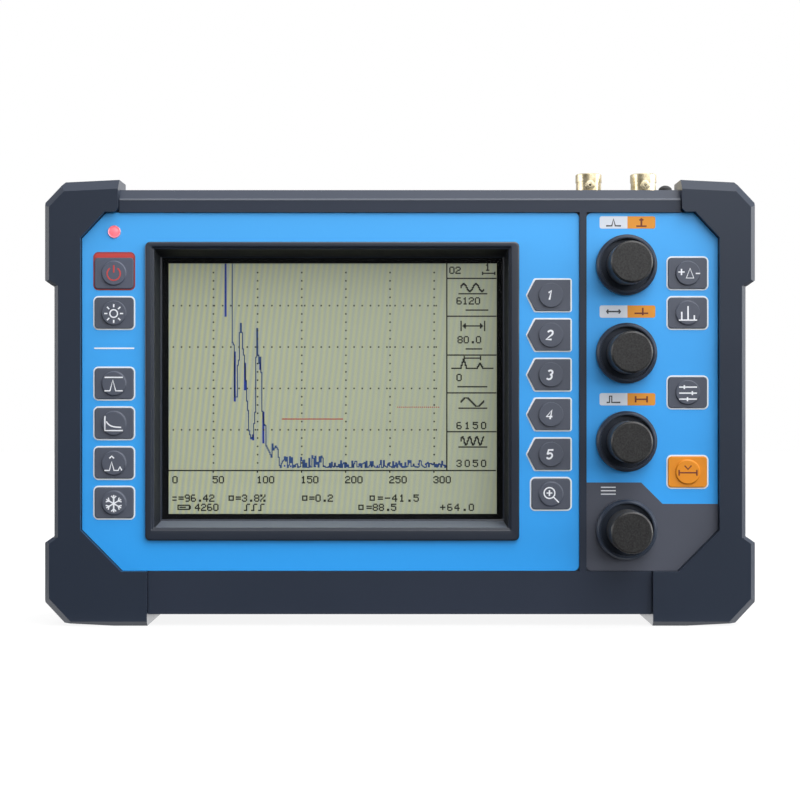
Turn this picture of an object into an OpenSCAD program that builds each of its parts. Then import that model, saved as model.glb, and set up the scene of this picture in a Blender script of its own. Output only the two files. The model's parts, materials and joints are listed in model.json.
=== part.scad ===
// Portable ultrasonic flaw detector: a flat case with a screen, keys and knobs
// on its front, a guard along each side, probe jacks on top and a rear stand.
// X runs across the front, the front faces -Y and Z rises from the feet.
// The origin lies under the middle of the whole instrument, on the ground.

/* [Case] */
// Height of the case above the bezel's mouth
above_mouth_h = 20.25; // [20.05:0.05:22]
// Height of the case below the bezel's mouth
below_mouth_h = 29.45; // [29.25:0.05:32]
// Width from the panel's left edge to the bezel's mouth
left_column_w = 24.7; // [24.5:0.1:28]
// Width from the bezel's mouth to the middle of the divider
function_column_w = 25.3; // [25.1:0.1:28]
// Width from the middle of the divider to the panel's right edge
knob_column_w = 47.4; // [47.2:0.1:52]
// How far the case reaches out under the guards, from the panel's edge
case_side = 7.1; // [6.9:0.1:8]
// Depth from the panel face to the back face
case_d = 45; // [44.5:0.5:52]
// Depth from the panel face to the joint of the shells
joint_d = 15; // [14.5:0.5:16.5]
// Thickness of the shell walls
wall = 2.5; // [2.3:0.1:2.8]
// Cut across each corner of the shells
case_corner = 6; // [4:0.5:7]
// Height of the bevel along the top front edge
top_bevel_h = 3.7; // [2:0.1:4.2]
// Depth of the bevel along the top front edge
top_bevel_d = 3.2; // [2:0.1:3.3]
// Height of the rails above the panel face
rail_rise = 0.9; // [0.5:0.1:1.4]
// Height of the top rail
top_rail_h = 8.1; // [7:0.1:9]
// Height of the bottom rail
bottom_rail_h = 15; // [14:0.2:17]
// Width of the bar between the two panel sheets
divider_w = 2.4; // [2:0.1:3]
// Thickness of the printed panel sheets
sheet_t = 0.5; // [0.3:0.1:0.8]
// Thickness of the seal between the shells
seal_t = 0.8; // [0.6:0.1:1.2]

/* [Guards] */
// Height over the guards above the case
guard_over = 3.4; // [2.5:0.1:5]
// Height of the feet below the case
foot_h = 4; // [3:0.1:6]
// Distance of the guards' front face from the panel face
guard_rise = 2.8; // [2:0.1:3.6]
// Thickness of the guards' back plates
guard_back_t = 3; // [2.9:0.1:4]
// Depth of the hand grip in each guard's side
grip_depth = 3.3; // [2:0.1:3.6]
// Length of the hand grip
grip_h = 87; // [80:1:92]
// Height of the hand grip's lower end
grip_z = 31.3; // [29:0.1:34]
// Width of each guard's strip beside the panel
strip_w = 9.3; // [8.5:0.1:10]
// Bevel along the guards' top front edge
guard_top_bevel = 3.5; // [2:0.1:3.8]
// Bevel along the guards' other front edges
guard_bevel = 1.7; // [1:0.1:2]
// Drawing-in of the rear guards, all round
guard_inset = 0.8; // [0.4:0.1:1.2]

/* [Screen] */
// Width of the seen part of the display
view_w = 117; // [115:0.2:130]
// Height of the seen part of the display
view_h = 89.3; // [88:0.1:98]
// Width of the gasket's edge, seen beside the display
view_side = 2; // [1.8:0.1:2.6]
// Height of the gasket's edge, seen over and under the display
view_over = 1.75; // [1.5:0.05:2.4]
// Depth from the panel face to the window
window_d = 9.5; // [9:0.1:10]
// Thickness of the window
window_t = 1.5; // [1.2:0.1:2]
// How far the mouth narrows on each side, down to the window
mouth_in_x = 2.2; // [1.8:0.1:2.6]
// How far the mouth narrows at its top and bottom
mouth_in_z = 3.05; // [2.6:0.05:3.3]
// Rise of the bezel's rim above the panel face
rim_rise = 1.5; // [1:0.1:2]

/* [Keys] */
// Width of a key
key_w = 13.6; // [12.6:0.1:13.8]
// Height of a key
key_h = 10.8; // [10:0.1:11.1]
// Radius of a key's corners
key_corner = 1.2; // [0.6:0.1:2]
// Spacing of the keys in a column
key_spacing = 13.9; // [13.7:0.1:14]
// Rise of a key above the panel face
key_rise = 0.6; // [0.3:0.1:1]
// Diameter of the raised pad on a key
pad_d = 8.4; // [7:0.1:9.4]
// Rise of the pad above the key
pad_rise = 0.7; // [0.4:0.1:1]
// Travel of a key
key_travel = 0.5; // [0.3:0.05:0.6]
// Distance of the left column from the edge of the panel
left_key_in = 11.4; // [11:0.1:12]
// Distance of the right column from the edge of the panel
right_key_in = 10.8; // [10.6:0.1:11]
// Distance of the function keys from the middle of the divider
function_key_in = 11.2; // [11:0.1:11.4]
// Length of the point of a function key
key_point = 2.9; // [2:0.1:3.5]

/* [Knobs] */
// Diameter of a knob
knob_d = 14.5; // [14:0.1:15.5]
// Height of a knob's face above the panel face
knob_rise = 16.5; // [14:0.5:20]
// Distance of the top knob from the panel's top edge
knob_top_in = 18.5; // [17:0.1:19]
// Distance of the menu knob from the panel's bottom edge
knob_low_in = 14.6; // [14:0.1:16]
// Distance of the knobs' middles from the divider's middle
knob_in = 15.1; // [14.8:0.1:15.4]
// Outer diameter of the collar round a knob
collar_d = 21.2; // [20.6:0.1:22]
// Inner diameter of that collar
well_d = 18.4; // [17.6:0.1:18.8]
// Height of the collar
collar_h = 3.6; // [3:0.1:4.2]
// Diameter of an encoder's shaft
shaft_d = 6; // [5:0.1:6.2]
// Travel of the menu knob when it is pressed
menu_travel = 0.5; // [0.3:0.05:0.6]

/* [Top sockets] */
// Diameter of a jack's barrel
jack_d = 9.6; // [9.4:0.1:9.7]
// Height of a jack above the case
jack_rise = 8.7; // [8.6:0.1:12]
// Spacing of the two jacks
jack_spacing = 20; // [19:0.5:21]
// Distance of the left jack from the middle of the divider
jack_in = 5; // [4.5:0.5:6]
// Distance of the jacks' middles from the back face
jack_back = 17; // [16:0.5:19]
// Width over a jack's two lugs
lug_span = 11; // [10.6:0.1:11.4]
// Distance of the lugs below a jack's end
lug_down = 4.1; // [3.8:0.1:4.8]
// Distance of the charging socket from the panel's right edge
socket_in = 13; // [12.8:0.1:14]
// Diameter of the charging socket's hole
socket_d = 5.5; // [5.5:0.1:6]
// Diameter of the grip of the socket's plug
plug_grip_d = 4.9; // [4:0.1:6]
// Height of that grip above the plug's flange
plug_grip_h = 3.4; // [2:0.1:4]

/* [Back] */
// Width of the stand
stand_w = 120; // [100:2:124]
// Length of the stand below its hinge
stand_h = 66; // [50:1:72]
// Thickness of the stand
stand_t = 2.6; // [2:0.1:2.6]
// Distance of the stand's hinge below the battery door
hinge_down = 5; // [5:0.5:7]
// Diameter of the stand's pin
stand_pin_d = 2; // [1.6:0.1:2.4]
// Width of the battery
battery_w = 132; // [110:1:133]
// Height of the battery
battery_h = 39; // [34:0.5:39.5]
// Thickness of the battery door
door_t = 1.8; // [1.4:0.1:2]

/* [Hidden] */
$fn = 64;

// Clearances and small thicknesses that several pieces share
over = 1;
fit_gap = 0.2;
slide_gap = 0.2;
rest_gap = 0.1;
thread_gap = 0.05;
turn_gap = 0.05;

// Colours
shell_color = "#3b424f";
guard_color = "#2f3643";
blue_color = "#4da8f0";
bezel_color = "#323a47";
key_color = "#5f6573";
orange_color = "#e2942e";
rubber_color = "#1c1d20";
steel_color = "#b9bcc0";
nickel_color = "#c9bd98";
board_color = "#1f6b3a";

// The display sets the size of the bezel's mouth, and the mouth that of the case
mouth_w = view_w + 2 * (view_side + mouth_in_x);
mouth_h = view_h + 2 * (view_over + mouth_in_z);
case_h = below_mouth_h + mouth_h + above_mouth_h;

// Heights of the case and of the panel
case_z0 = foot_h;
case_z1 = case_z0 + case_h;
mid_z = (case_z0 + case_z1) / 2;
guard_z1 = case_z1 + guard_over;
panel_z0 = case_z0 + bottom_rail_h;
panel_z1 = case_z1 - top_rail_h;

// Depths, counted back from the panel face
seat_y = sheet_t;
inner_y = seat_y + wall;
back_in_y = case_d - wall;
guard_end_y = case_d + guard_back_t;
mid_y = (guard_end_y - knob_rise) / 2;
shell_gap = seal_t / 2;

// Places across the front, out from the panel
panel_x = (left_column_w + mouth_w + function_column_w + knob_column_w) / 2;
case_w = 2 * (panel_x + case_side);
screen_x = left_column_w + mouth_w / 2 - panel_x;
divider_x = panel_x - knob_column_w;

// Guards
grip_x = panel_x + strip_w;
guard_x = grip_x + grip_depth;
guard_gap = 0.1;
grip_slope = 2.3;
top_corner_x = 6.9;
top_corner_z = 7.3;
top_fall = 0.9;
low_corner_x = 7.7;
low_corner_z = 8.2;
foot_fall = 1;
foot_flat_in = 24;
foot_flat_x = guard_x - foot_flat_in;
foot_slope_x = 17.2;
top_arm_in = 25.7;
top_arm_x = guard_x - top_arm_in;
rear_arm_in = 20;
rear_arm_x = guard_x - rear_arm_in;
foot_arm_in = 35.8;
foot_arm_x = guard_x - foot_arm_in;
arm_tip = 1.2;
top_diag_x = 8.4;
top_diag_z = 9;
low_diag_x = 14.2;
low_diag_z = 14.4;
end_full_share = 1;
end_inner_share = 0.3;
bevel_shares = [1, 1.4, 1, 0.7, 0.9, 0.7, 1, 1.3, 0.95];
bevel_over_share = 0.5;

// Screws
screw_r = 1.5;
screw_head_r = 2.9;
screw_head_h = 1.8;
socket_hex_r = 1.2;
socket_hex_d = 1;
screw_boss_r = 3.5;
case_screw_top_in = 15;
case_screw_low_in = 36;
case_screw_in = 6.3;
case_screw_short = 11;
case_screw_l = case_d - case_screw_short;
guard_screw_in = 21.5;
guard_screw_low = 19;
guard_screw_front_y = 8;
guard_screw_rear_y = 30;
guard_screw_l = 11;
guard_boss_l = 6.5;
guard_boss_half = 4;

// Screen
screen_z = case_z0 + below_mouth_h + mouth_h / 2;
rim_left = 2.4;
rim_right = 3;
rim_top = 1.8;
rim_bottom = 3.75;
rim_corner = 1.75;
bezel_wall = 1.2;
bezel_w = mouth_w + 2 * bezel_wall;
bezel_h = mouth_h + 2 * bezel_wall;
foot_open_w = mouth_w - 2 * mouth_in_x;
foot_open_h = mouth_h - 2 * mouth_in_z;
ledge_w = 1.5;
window_w = foot_open_w + 2 * ledge_w;
window_h = foot_open_h + 2 * ledge_w;
bezel_end_y = window_d + window_t + shell_gap;
gasket_t = 0.8;
lcd_y = window_d + window_t + gasket_t;
lcd_t = 2.6;
lcd_over = 4.5;
lcd_w = view_w + 2 * lcd_over;
lcd_h = view_h + 2 * lcd_over;
frame_wall = 2.8;
frame_w = lcd_w + 2 * frame_wall;
frame_h = lcd_h + 2 * frame_wall;
frame_y0 = bezel_end_y + rest_gap;
frame_back_t = 3.5;
frame_y1 = lcd_y + lcd_t + frame_back_t;
ear_in = 12.7;
ear_out = 5.55;
ear_x = mouth_w / 2 - ear_in;
ear_z = mouth_h / 2 + ear_out;
ear_half = 4;
ear_t = 1.2;

// Boards
encoder_body_d = 5.4;
board_y = inner_y + encoder_body_d;
board_t = 1.6;
board_over = 9.55;
board_under = 11.55;
board_up = mouth_h / 2 + board_over;
board_down = mouth_h / 2 + board_under;
board_side = 3.4;
board_gap = 0.6;
board_screw_out = 4.55;
board_screw_z = mouth_h / 2 + board_screw_out;
board_screw_r = 1.25;
board_boss_r = 3;
board_screw_l = 6;
board_head_r = 2.4;
board_head_h = 1.6;

// Keys: a flange behind the wall keeps each one in
flange_side = 1;
flange_t = 1.2;
flange_y = inner_y + rest_gap;
switch_w = 6;
switch_cap_r = 1.75;
switch_cap_h = 1;
switch_y = flange_y + flange_t + key_travel + rest_gap;
power_key_in = 21.3;
left_low_in = 59.9;
function_in = 29;
half_panel_h = panel_z1 - mid_z;
power_key_up = half_panel_h - power_key_in;
left_low_up = half_panel_h - left_low_in;
function_up = half_panel_h - function_in;
left_key_x = left_key_in - panel_x;
right_key_x = panel_x - right_key_in;
function_key_x = divider_x - function_key_in;
key_places = [
    [left_key_x, power_key_up], [left_key_x, power_key_up - key_spacing],
    [left_key_x, left_low_up], [left_key_x, left_low_up - key_spacing],
    [left_key_x, left_low_up - 2 * key_spacing], [left_key_x, left_low_up - 3 * key_spacing],
    [function_key_x, function_up], [function_key_x, function_up - key_spacing],
    [function_key_x, function_up - 2 * key_spacing],
    [function_key_x, function_up - 3 * key_spacing],
    [function_key_x, function_up - 4 * key_spacing],
    [function_key_x, function_up - 5 * key_spacing],
    [right_key_x, power_key_up], [right_key_x, power_key_up - key_spacing],
    [right_key_x, power_key_up - 3 * key_spacing], [right_key_x, power_key_up - 5 * key_spacing]
];
first_function_key = 6;
last_function_key = 10;
first_right_key = 12;
function keys_between(a, b) = [for (i = [a : b]) i];
left_keys = keys_between(0, first_right_key - 1);
right_keys = keys_between(first_right_key, len(key_places) - 1);

// Light beside the keys
led_r = 2.1;
led_in = 6.75;
led_up = half_panel_h - led_in;
led_rise = 0.5;
led_ball_r = 3.5;

// Knobs and their encoders
knob_x = divider_x + knob_in;
knob_steps = 3;
knob_spacing = (panel_z1 - panel_z0 - knob_top_in - knob_low_in) / knob_steps;
knob_zs = [for (i = [0 : knob_steps]) panel_z1 - knob_top_in - i * knob_spacing];
shaft_r = shaft_d / 2;
bush_wall = 0.5;
bush_r = shaft_r + bush_wall;
bush_rise = 3.2;
collar_floor = 0.8;
collar_bevel = 0.8;
nut_r = 5.77;
nut_t = 1.8;
knob_low = collar_h;
knob_hollow_r = 6.1;
knob_hollow_y = max(knob_low, bush_rise + menu_travel) + rest_gap;
knob_edge = 0.6;
knob_cap_t = 2.5;
encoder_w = 12;
shaft_end_y = 7.2;
encoder_bore_y = 7.6;
plunger_y0 = 6;
plunger_t = 1;

// Jacks and charging socket
jack_x = divider_x + jack_in;
jack_y = case_d - jack_back;
socket_x = panel_x - socket_in;
case_screw_top_x = jack_x - case_screw_top_in;
case_screw_low_x = guard_x - case_screw_low_in;
jack_r = jack_d / 2;
jack_neck_r = 4.6;
jack_flange_r = 6.5;
jack_flange_t = 1.5;
jack_thread_r = 4.5;
jack_tail = 10;
jack_bore_r = 4.05;
jack_bore_d = 8.5;
jack_edge = 0.3;
lug_r = 0.95;
insulator_r = 2.45;
insulator_down = 1.5;
insulator_tail = 1;
contact_r = 1.05;
contact_bore_r = 0.7;
contact_bore_d = 5;
contact_tail = 3;
jack_nut_r = 7.5;
jack_nut_t = 2.1;
socket_back = 8;
socket_y = case_d - socket_back;
socket_flange_r = 5;
socket_flange_t = 1;
socket_body_r = 3.9;
socket_tail = 11;
socket_bore_d = 9;
socket_pin_r = 1;
plug_gap = 0.3;
plug_flange_r = 4.6;
plug_flange_t = 1.1;
plug_stem_r = socket_d / 2 - plug_gap;
plug_stem_l = 7.6;
plug_hollow_r = 1.4;
plug_ball_r = 3;

// Battery bay and door, left of the sockets
bay_in = 84;
bay_down = 32.6;
bay_x = jack_x - bay_in;
bay_side = 1;
bay_w = battery_w + 2 * bay_side;
bay_h = battery_h + 2 * bay_side;
bay_wall = 2.5;
bay_z = case_z1 - bay_down;
bay_deep = 25;
bay_front_y = case_d - bay_deep;
bay_floor_t = 2;
battery_gap = 0.25;
door_side = 9;
door_lip = 2.5;
door_w = bay_w + 2 * door_side;
door_h = bay_h + 2 * door_lip;
door_y = case_d - door_t;
door_screw_x = bay_w / 2 + 5;
door_screw_z = 10;
door_boss_r = 3;
door_boss_l = 7;
door_screw_l = 6;
cell_seam = 0.4;

// Main board behind the display
main_side = 23.5;
main_screw_in = 7;
main_screw_up = 6.5;
main_screw_down = 6;
main_w = case_w - 2 * main_side;
main_z0 = 15.5;
main_top_z = bay_z - bay_h / 2 - bay_wall - main_screw_in;
main_back = 19;
main_y = case_d - main_back;
main_screw_x = main_w / 2 - main_screw_in;
main_screw_z0 = main_z0 + main_screw_up;
main_screw_z1 = main_top_z - main_screw_down;

// Stand
stand_gap = 0.2;
hinge_z = bay_z - door_h / 2 - hinge_down;
barrel_r = 2.4;
barrel_gap = 0.35;
hinge_y = case_d + stand_gap + stand_t - barrel_r;
lug_t = 6;
lug_gap = 0.3;
rib_t = 3;
rib_half = 6;
stand_corner = 6;
stand_notch_r = 9;

// A flat outline in X and Z, drawn out from one depth to another
module upright(y0, y1) {
    translate([0, y1, 0]) rotate([90, 0, 0]) linear_extrude(y1 - y0) children();
}

// The same, about a middle at x and z
module upright_at(x, z, y0, y1) {
    translate([x, 0, z]) upright(y0, y1) children();
}

// A block between two corners
module block(a, b) {
    translate(a) cube(b - a);
}

// A rod along Y
module rod_y(x, z, r, y0, y1) {
    translate([x, y0, z]) rotate([-90, 0, 0]) cylinder(r = r, h = y1 - y0);
}

// A rod along X
module rod_x(y, z, r, x0, x1) {
    translate([x0, y, z]) rotate([0, 90, 0]) cylinder(r = r, h = x1 - x0);
}

// A rod along Z
module rod_z(x, y, r, z0, z1) {
    translate([x, y, z0]) cylinder(r = r, h = z1 - z0);
}

// A rectangle with round corners
module soft_rect(w, h, r) {
    square([w - 2 * r, h], center = true);
    square([w, h - 2 * r], center = true);
    for (x = [r - w / 2, w / 2 - r], z = [r - h / 2, h / 2 - r])
        translate([x, z]) circle(r = r);
}

// A rectangle with cut corners
module cut_rect(w, h, c) {
    polygon([
        [c - w / 2, -h / 2], [w / 2 - c, -h / 2], [w / 2, c - h / 2], [w / 2, h / 2 - c],
        [w / 2 - c, h / 2], [c - w / 2, h / 2], [-w / 2, h / 2 - c], [-w / 2, c - h / 2]
    ]);
}

// The case's outline, drawn in by an inset
module case_outline(inset) {
    translate([0, mid_z])
        cut_rect(case_w - 2 * inset, case_h - 2 * inset, case_corner - inset * (2 - sqrt(2)));
}

// A screw with a pan head and a socket, which points along -Y from its head's seat
module screw(r, l, head_r, head_h) {
    rotate([90, 0, 0]) cylinder(r = r, h = l);
    difference() {
        rotate([-90, 0, 0]) cylinder(r = head_r, h = head_h);
        translate([0, head_h - socket_hex_d, 0]) rotate([-90, 0, 0])
            cylinder(r = socket_hex_r, h = socket_hex_d + over, $fn = 6);
    }
}

// Places of the screws
case_screw_places = [
    [-case_screw_top_x, case_z1 - case_screw_in], [case_screw_top_x, case_z1 - case_screw_in],
    [-case_screw_low_x, case_z0 + case_screw_in], [case_screw_low_x, case_z0 + case_screw_in]
];
ear_places = [for (i = [-1, 1], j = [-1, 1]) [screen_x + i * ear_x, screen_z + j * ear_z]];
board_places = [
    [left_key_x, screen_z - board_screw_z], [right_key_x - board_boss_r, screen_z + board_screw_z],
    [right_key_x - board_boss_r, screen_z - board_screw_z]
];
main_places = [for (x = [-main_screw_x, main_screw_x], z = [main_screw_z0, main_screw_z1]) [x, z]];
door_places = [for (i = [-1, 1], j = [-1, 1]) [bay_x + i * door_screw_x, bay_z + j * door_screw_z]];
guard_screw_zs = [guard_screw_low, guard_z1 - guard_screw_in];

// Outline of the guard on the right, and the same moved in by a step
function guard_points(step, arm_x) = [
    [arm_x, guard_z1 - step],
    [guard_x - top_corner_x - step, guard_z1 - top_fall - step],
    [guard_x - step, guard_z1 - top_fall - top_corner_z],
    [guard_x - step, grip_z + grip_h + grip_slope],
    [grip_x, grip_z + grip_h],
    [grip_x, grip_z],
    [guard_x - step, grip_z - grip_slope],
    [guard_x - step, low_corner_z],
    [guard_x - low_corner_x - step, 0],
    [foot_arm_x, 0],
    [foot_arm_x, panel_z0],
    [panel_x - low_diag_x, panel_z0],
    [panel_x, panel_z0 + low_diag_z],
    [panel_x, panel_z1 - top_diag_z],
    [panel_x - top_diag_x, panel_z1],
    [arm_x + arm_tip, panel_z1],
    [arm_x, panel_z1 + arm_tip]
];
concave_corners = [4, 5];
function bevel_of(i) = i == 0 ? guard_top_bevel : guard_bevel * bevel_shares[i];
function reach_of(i) = len(search(i, concave_corners)) > 0 ? end_inner_share : end_full_share;

// A wedge that bevels the front or back edge from p to q, whose outside is on the left
module edge_wedge(p, q, run, y_face, inward, reach_p, reach_q) {
    s = bevel_over_share;
    translate([p.x, y_face, p.y])
        rotate([0, -atan2(q.y - p.y, q.x - p.x), 0])
            translate([-reach_p, 0, 0]) rotate([90, 0, 90])
                linear_extrude(norm(q - p) + reach_p + reach_q)
                    polygon([
                        [-inward * run * s, -run * (1 + s)],
                        [-inward * run * s, run * s],
                        [inward * run * (1 + s), run * s]
                    ]);
}

// One side guard, on the right: a C that wraps the case
module guard(y0, y1, step, arm_x, y_face, inward) {
    pts = guard_points(step, arm_x);
    difference() {
        upright(y0, y1) polygon(pts);
        upright(seat_y, case_d) case_outline(0);
        for (i = [0 : len(bevel_shares) - 1])
            edge_wedge(pts[i], pts[i + 1], bevel_of(i), y_face, inward,
                bevel_of(i) * reach_of(i), bevel_of(i) * reach_of(i + 1));
        upright(y0 - over, y1 + over) polygon([
            [foot_flat_x, 0], [foot_flat_x, -over], [foot_flat_x + 2 * foot_slope_x, -over],
            [foot_flat_x + 2 * foot_slope_x, 2 * foot_fall]
        ]);
        for (z = guard_screw_zs) {
            y = inward > 0 ? guard_screw_front_y : guard_screw_rear_y;
            rod_x(y, z, screw_r + fit_gap, case_w / 2 - over, guard_x + over);
            rod_x(y, z, screw_head_r + fit_gap, guard_x - step - screw_head_h, guard_x + over);
        }
    }
}

module front_guard() {
    color(guard_color)
        guard(-guard_rise, joint_d - guard_gap, 0, top_arm_x, -guard_rise, 1);
}

module rear_guard() {
    color(guard_color)
        guard(joint_d + guard_gap, guard_end_y, guard_inset, rear_arm_x, guard_end_y, -1);
}

module front_right_guard() { front_guard(); }
module front_left_guard() { mirror([1, 0, 0]) front_guard(); }
module rear_right_guard() { rear_guard(); }
module rear_left_guard() { mirror([1, 0, 0]) rear_guard(); }

module guard_screws() {
    color(steel_color)
        for (side = [0, 1], z = guard_screw_zs, end = [0, 1])
            mirror([side, 0, 0])
                translate([
                    guard_x - screw_head_h - (end == 0 ? 0 : guard_inset),
                    end == 0 ? guard_screw_front_y : guard_screw_rear_y, z
                ])
                    rotate([0, 0, -90]) screw(screw_r, guard_screw_l, screw_head_r, screw_head_h);
}

// The hole for a key, and the key's outline, both drawn about its middle
module function_shape(w, h) {
    polygon([
        [-w / 2 - key_point / 2, 0], [key_point / 2 - w / 2, -h / 2], [w / 2, -h / 2],
        [w / 2, h / 2], [key_point / 2 - w / 2, h / 2]
    ]);
}

module key_shape(i, grow) {
    if (i >= first_function_key && i <= last_function_key)
        function_shape(key_w + 2 * grow, key_h + 2 * grow);
    else
        soft_rect(key_w + 2 * grow, key_h + 2 * grow, key_corner);
}

module key_at(i, grow, y0, y1) {
    upright_at(key_places[i].x, mid_z + key_places[i].y, y0, y1) key_shape(i, grow);
}

// Two rings of the shell's side wall meet at the seal
module wall_ring(y0, y1) {
    difference() {
        upright(y0, y1) case_outline(0);
        upright(y0 - over, y1 + over) case_outline(wall);
    }
}

module front_bosses() {
    for (p = case_screw_places) rod_y(p.x, p.y, screw_boss_r, inner_y - rest_gap, joint_d - shell_gap);
    for (p = concat(ear_places, board_places))
        rod_y(p.x, p.y, board_boss_r, inner_y - rest_gap, board_y);
    for (side = [-1, 1], z = guard_screw_zs)
        translate([side * (case_w / 2 - wall - guard_boss_l / 2 + rest_gap), guard_screw_front_y, z])
            cube([guard_boss_l, 2 * guard_boss_half, 2 * guard_boss_half], center = true);
}

module front_shell() {
    rail_top = case_z1 - top_bevel_h;
    color(shell_color) difference() {
        union() {
            upright(seat_y, inner_y) case_outline(0);
            wall_ring(inner_y - rest_gap, joint_d - shell_gap);
            block([fit_gap - top_arm_x, -rail_rise, panel_z1],
                [top_arm_x - fit_gap, seat_y + rest_gap, case_z1]);
            block([fit_gap - foot_arm_x, -rail_rise, case_z0],
                [foot_arm_x - fit_gap, seat_y + rest_gap, panel_z0]);
            block([divider_x - divider_w / 2, -rail_rise, panel_z0 - rest_gap],
                [divider_x + divider_w / 2, seat_y + rest_gap, panel_z1 + rest_gap]);
            front_bosses();
        }
        translate([-top_arm_x, -rail_rise, rail_top]) rotate([90, 0, 90])
            linear_extrude(2 * top_arm_x)
                polygon([
                    [-top_bevel_d, -top_bevel_h], [-top_bevel_d, 2 * top_bevel_h],
                    [2 * top_bevel_d, 2 * top_bevel_h]
                ]);
        upright_at(screen_x, screen_z, seat_y - over, inner_y + over)
            square([bezel_w + 2 * fit_gap, bezel_h + 2 * fit_gap], center = true);
        for (i = keys_between(0, len(key_places) - 1)) key_at(i, slide_gap, seat_y - over, inner_y + over);
        for (z = knob_zs) rod_y(knob_x, z, bush_r + thread_gap, seat_y - over, inner_y + over);
        rod_y(left_key_x, mid_z + led_up, led_r + fit_gap, seat_y - over, inner_y + over);
        for (p = case_screw_places)
            rod_y(p.x, p.y, screw_r + thread_gap, inner_y + over, joint_d + over);
        for (p = concat(ear_places, board_places))
            rod_y(p.x, p.y, board_screw_r + thread_gap, inner_y + rest_gap, board_y + over);
        for (side = [-1, 1], z = guard_screw_zs)
            rod_x(guard_screw_front_y, z, screw_r + thread_gap,
                side > 0 ? case_w / 2 - wall - guard_boss_l : -case_w / 2 - over,
                side > 0 ? case_w / 2 + over : -case_w / 2 + wall + guard_boss_l);
    }
}

module rear_bosses() {
    for (p = case_screw_places)
        rod_y(p.x, p.y, screw_boss_r, joint_d + shell_gap, back_in_y + rest_gap);
    for (p = main_places)
        rod_y(p.x, p.y, board_boss_r, main_y + board_t, back_in_y + rest_gap);
    for (p = door_places)
        rod_y(p.x, p.y, door_boss_r, door_y - door_boss_l, back_in_y + rest_gap);
    for (side = [-1, 1], z = guard_screw_zs)
        translate([side * (case_w / 2 - wall - guard_boss_l / 2 + rest_gap), guard_screw_rear_y, z])
            cube([guard_boss_l, 2 * guard_boss_half, 2 * guard_boss_half], center = true);
    upright_at(bay_x, bay_z, bay_front_y, back_in_y + rest_gap)
        square([bay_w + 2 * bay_wall, bay_h + 2 * bay_wall], center = true);
    block([-stand_w / 2 - lug_t, back_in_y - rib_t, hinge_z - rib_half],
        [stand_w / 2 + lug_t, back_in_y + rest_gap, hinge_z + rib_half - over]);
}

module rear_shell() {
    color(shell_color) difference() {
        union() {
            upright(back_in_y, case_d) case_outline(0);
            wall_ring(joint_d + shell_gap, back_in_y + rest_gap);
            rear_bosses();
            for (side = [-1, 1])
                rod_x(hinge_y, hinge_z, barrel_r,
                    side > 0 ? stand_w / 2 + lug_gap : -stand_w / 2 - lug_gap - lug_t,
                    side > 0 ? stand_w / 2 + lug_gap + lug_t : -stand_w / 2 - lug_gap);
        }
        upright_at(bay_x, bay_z, bay_front_y + bay_floor_t, case_d + over)
            square([bay_w, bay_h], center = true);
        upright_at(bay_x, bay_z, door_y - rest_gap, case_d + over)
            square([door_w + 2 * fit_gap, door_h + 2 * fit_gap], center = true);
        for (p = door_places)
            rod_y(p.x, p.y, board_screw_r + thread_gap, door_y - door_screw_l, door_y + over);
        for (p = case_screw_places) {
            rod_y(p.x, p.y, screw_r + fit_gap, joint_d, case_d + over);
            rod_y(p.x, p.y, screw_head_r + fit_gap, case_d - screw_head_h, case_d + over);
        }
        for (p = main_places)
            rod_y(p.x, p.y, board_screw_r + thread_gap, main_y, main_y + board_t + board_screw_l);
        for (side = [-1, 1], z = guard_screw_zs)
            rod_x(guard_screw_rear_y, z, screw_r + thread_gap,
                side > 0 ? case_w / 2 - wall - guard_boss_l : -case_w / 2 - over,
                side > 0 ? case_w / 2 + over : -case_w / 2 + wall + guard_boss_l);
        rod_x(hinge_y, hinge_z, barrel_r + barrel_gap, -stand_w / 2 - lug_gap, stand_w / 2 + lug_gap);
        rod_x(hinge_y, hinge_z, stand_pin_d / 2 + thread_gap,
            -stand_w / 2 - lug_gap - lug_t - over, stand_w / 2 + lug_gap + lug_t + over);
        for (i = [0, 1])
            rod_z(jack_x + i * jack_spacing, jack_y, jack_thread_r + rest_gap,
                case_z1 - wall - over, case_z1 + over);
        rod_z(socket_x, socket_y, socket_body_r + rest_gap, case_z1 - wall - over, case_z1 + over);
    }
}

module case_seal() {
    color(rubber_color) difference() {
        upright(joint_d - shell_gap, joint_d + shell_gap) case_outline(rest_gap);
        upright(joint_d - over, joint_d + over) case_outline(wall);
    }
}

module case_screws() {
    color(steel_color) for (p = case_screw_places)
        translate([p.x, case_d - screw_head_h, p.y])
            screw(screw_r, case_screw_l, screw_head_r, screw_head_h);
}

// The printed sheets lie in the panel's pocket, between the guards
module panel_cut(side) {
    x_out = panel_x - fit_gap;
    x_in = divider_x + side * (divider_w / 2 + rest_gap);
    z0 = panel_z0 + rest_gap;
    z1 = panel_z1 - rest_gap;
    polygon([
        [side * (x_out - low_diag_x), z0], [side * x_out, z0 + low_diag_z],
        [side * x_out, z1 - top_diag_z], [side * (x_out - top_diag_x), z1], [x_in, z1], [x_in, z0]
    ]);
}

module left_panel_sheet() {
    color(blue_color) difference() {
        upright(0, seat_y) panel_cut(-1);
        upright_at(screen_x, screen_z, -over, seat_y + over)
            square([bezel_w + 2 * fit_gap, bezel_h + 2 * fit_gap], center = true);
        for (i = left_keys) key_at(i, slide_gap, -over, seat_y + over);
        rod_y(left_key_x, mid_z + led_up, led_r + fit_gap, -over, seat_y + over);
    }
}

module right_panel_sheet() {
    color(blue_color) difference() {
        upright(0, seat_y) panel_cut(1);
        for (i = right_keys) key_at(i, slide_gap, -over, seat_y + over);
        for (z = knob_zs) rod_y(knob_x, z, bush_r + fit_gap, -over, seat_y + over);
    }
}

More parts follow.
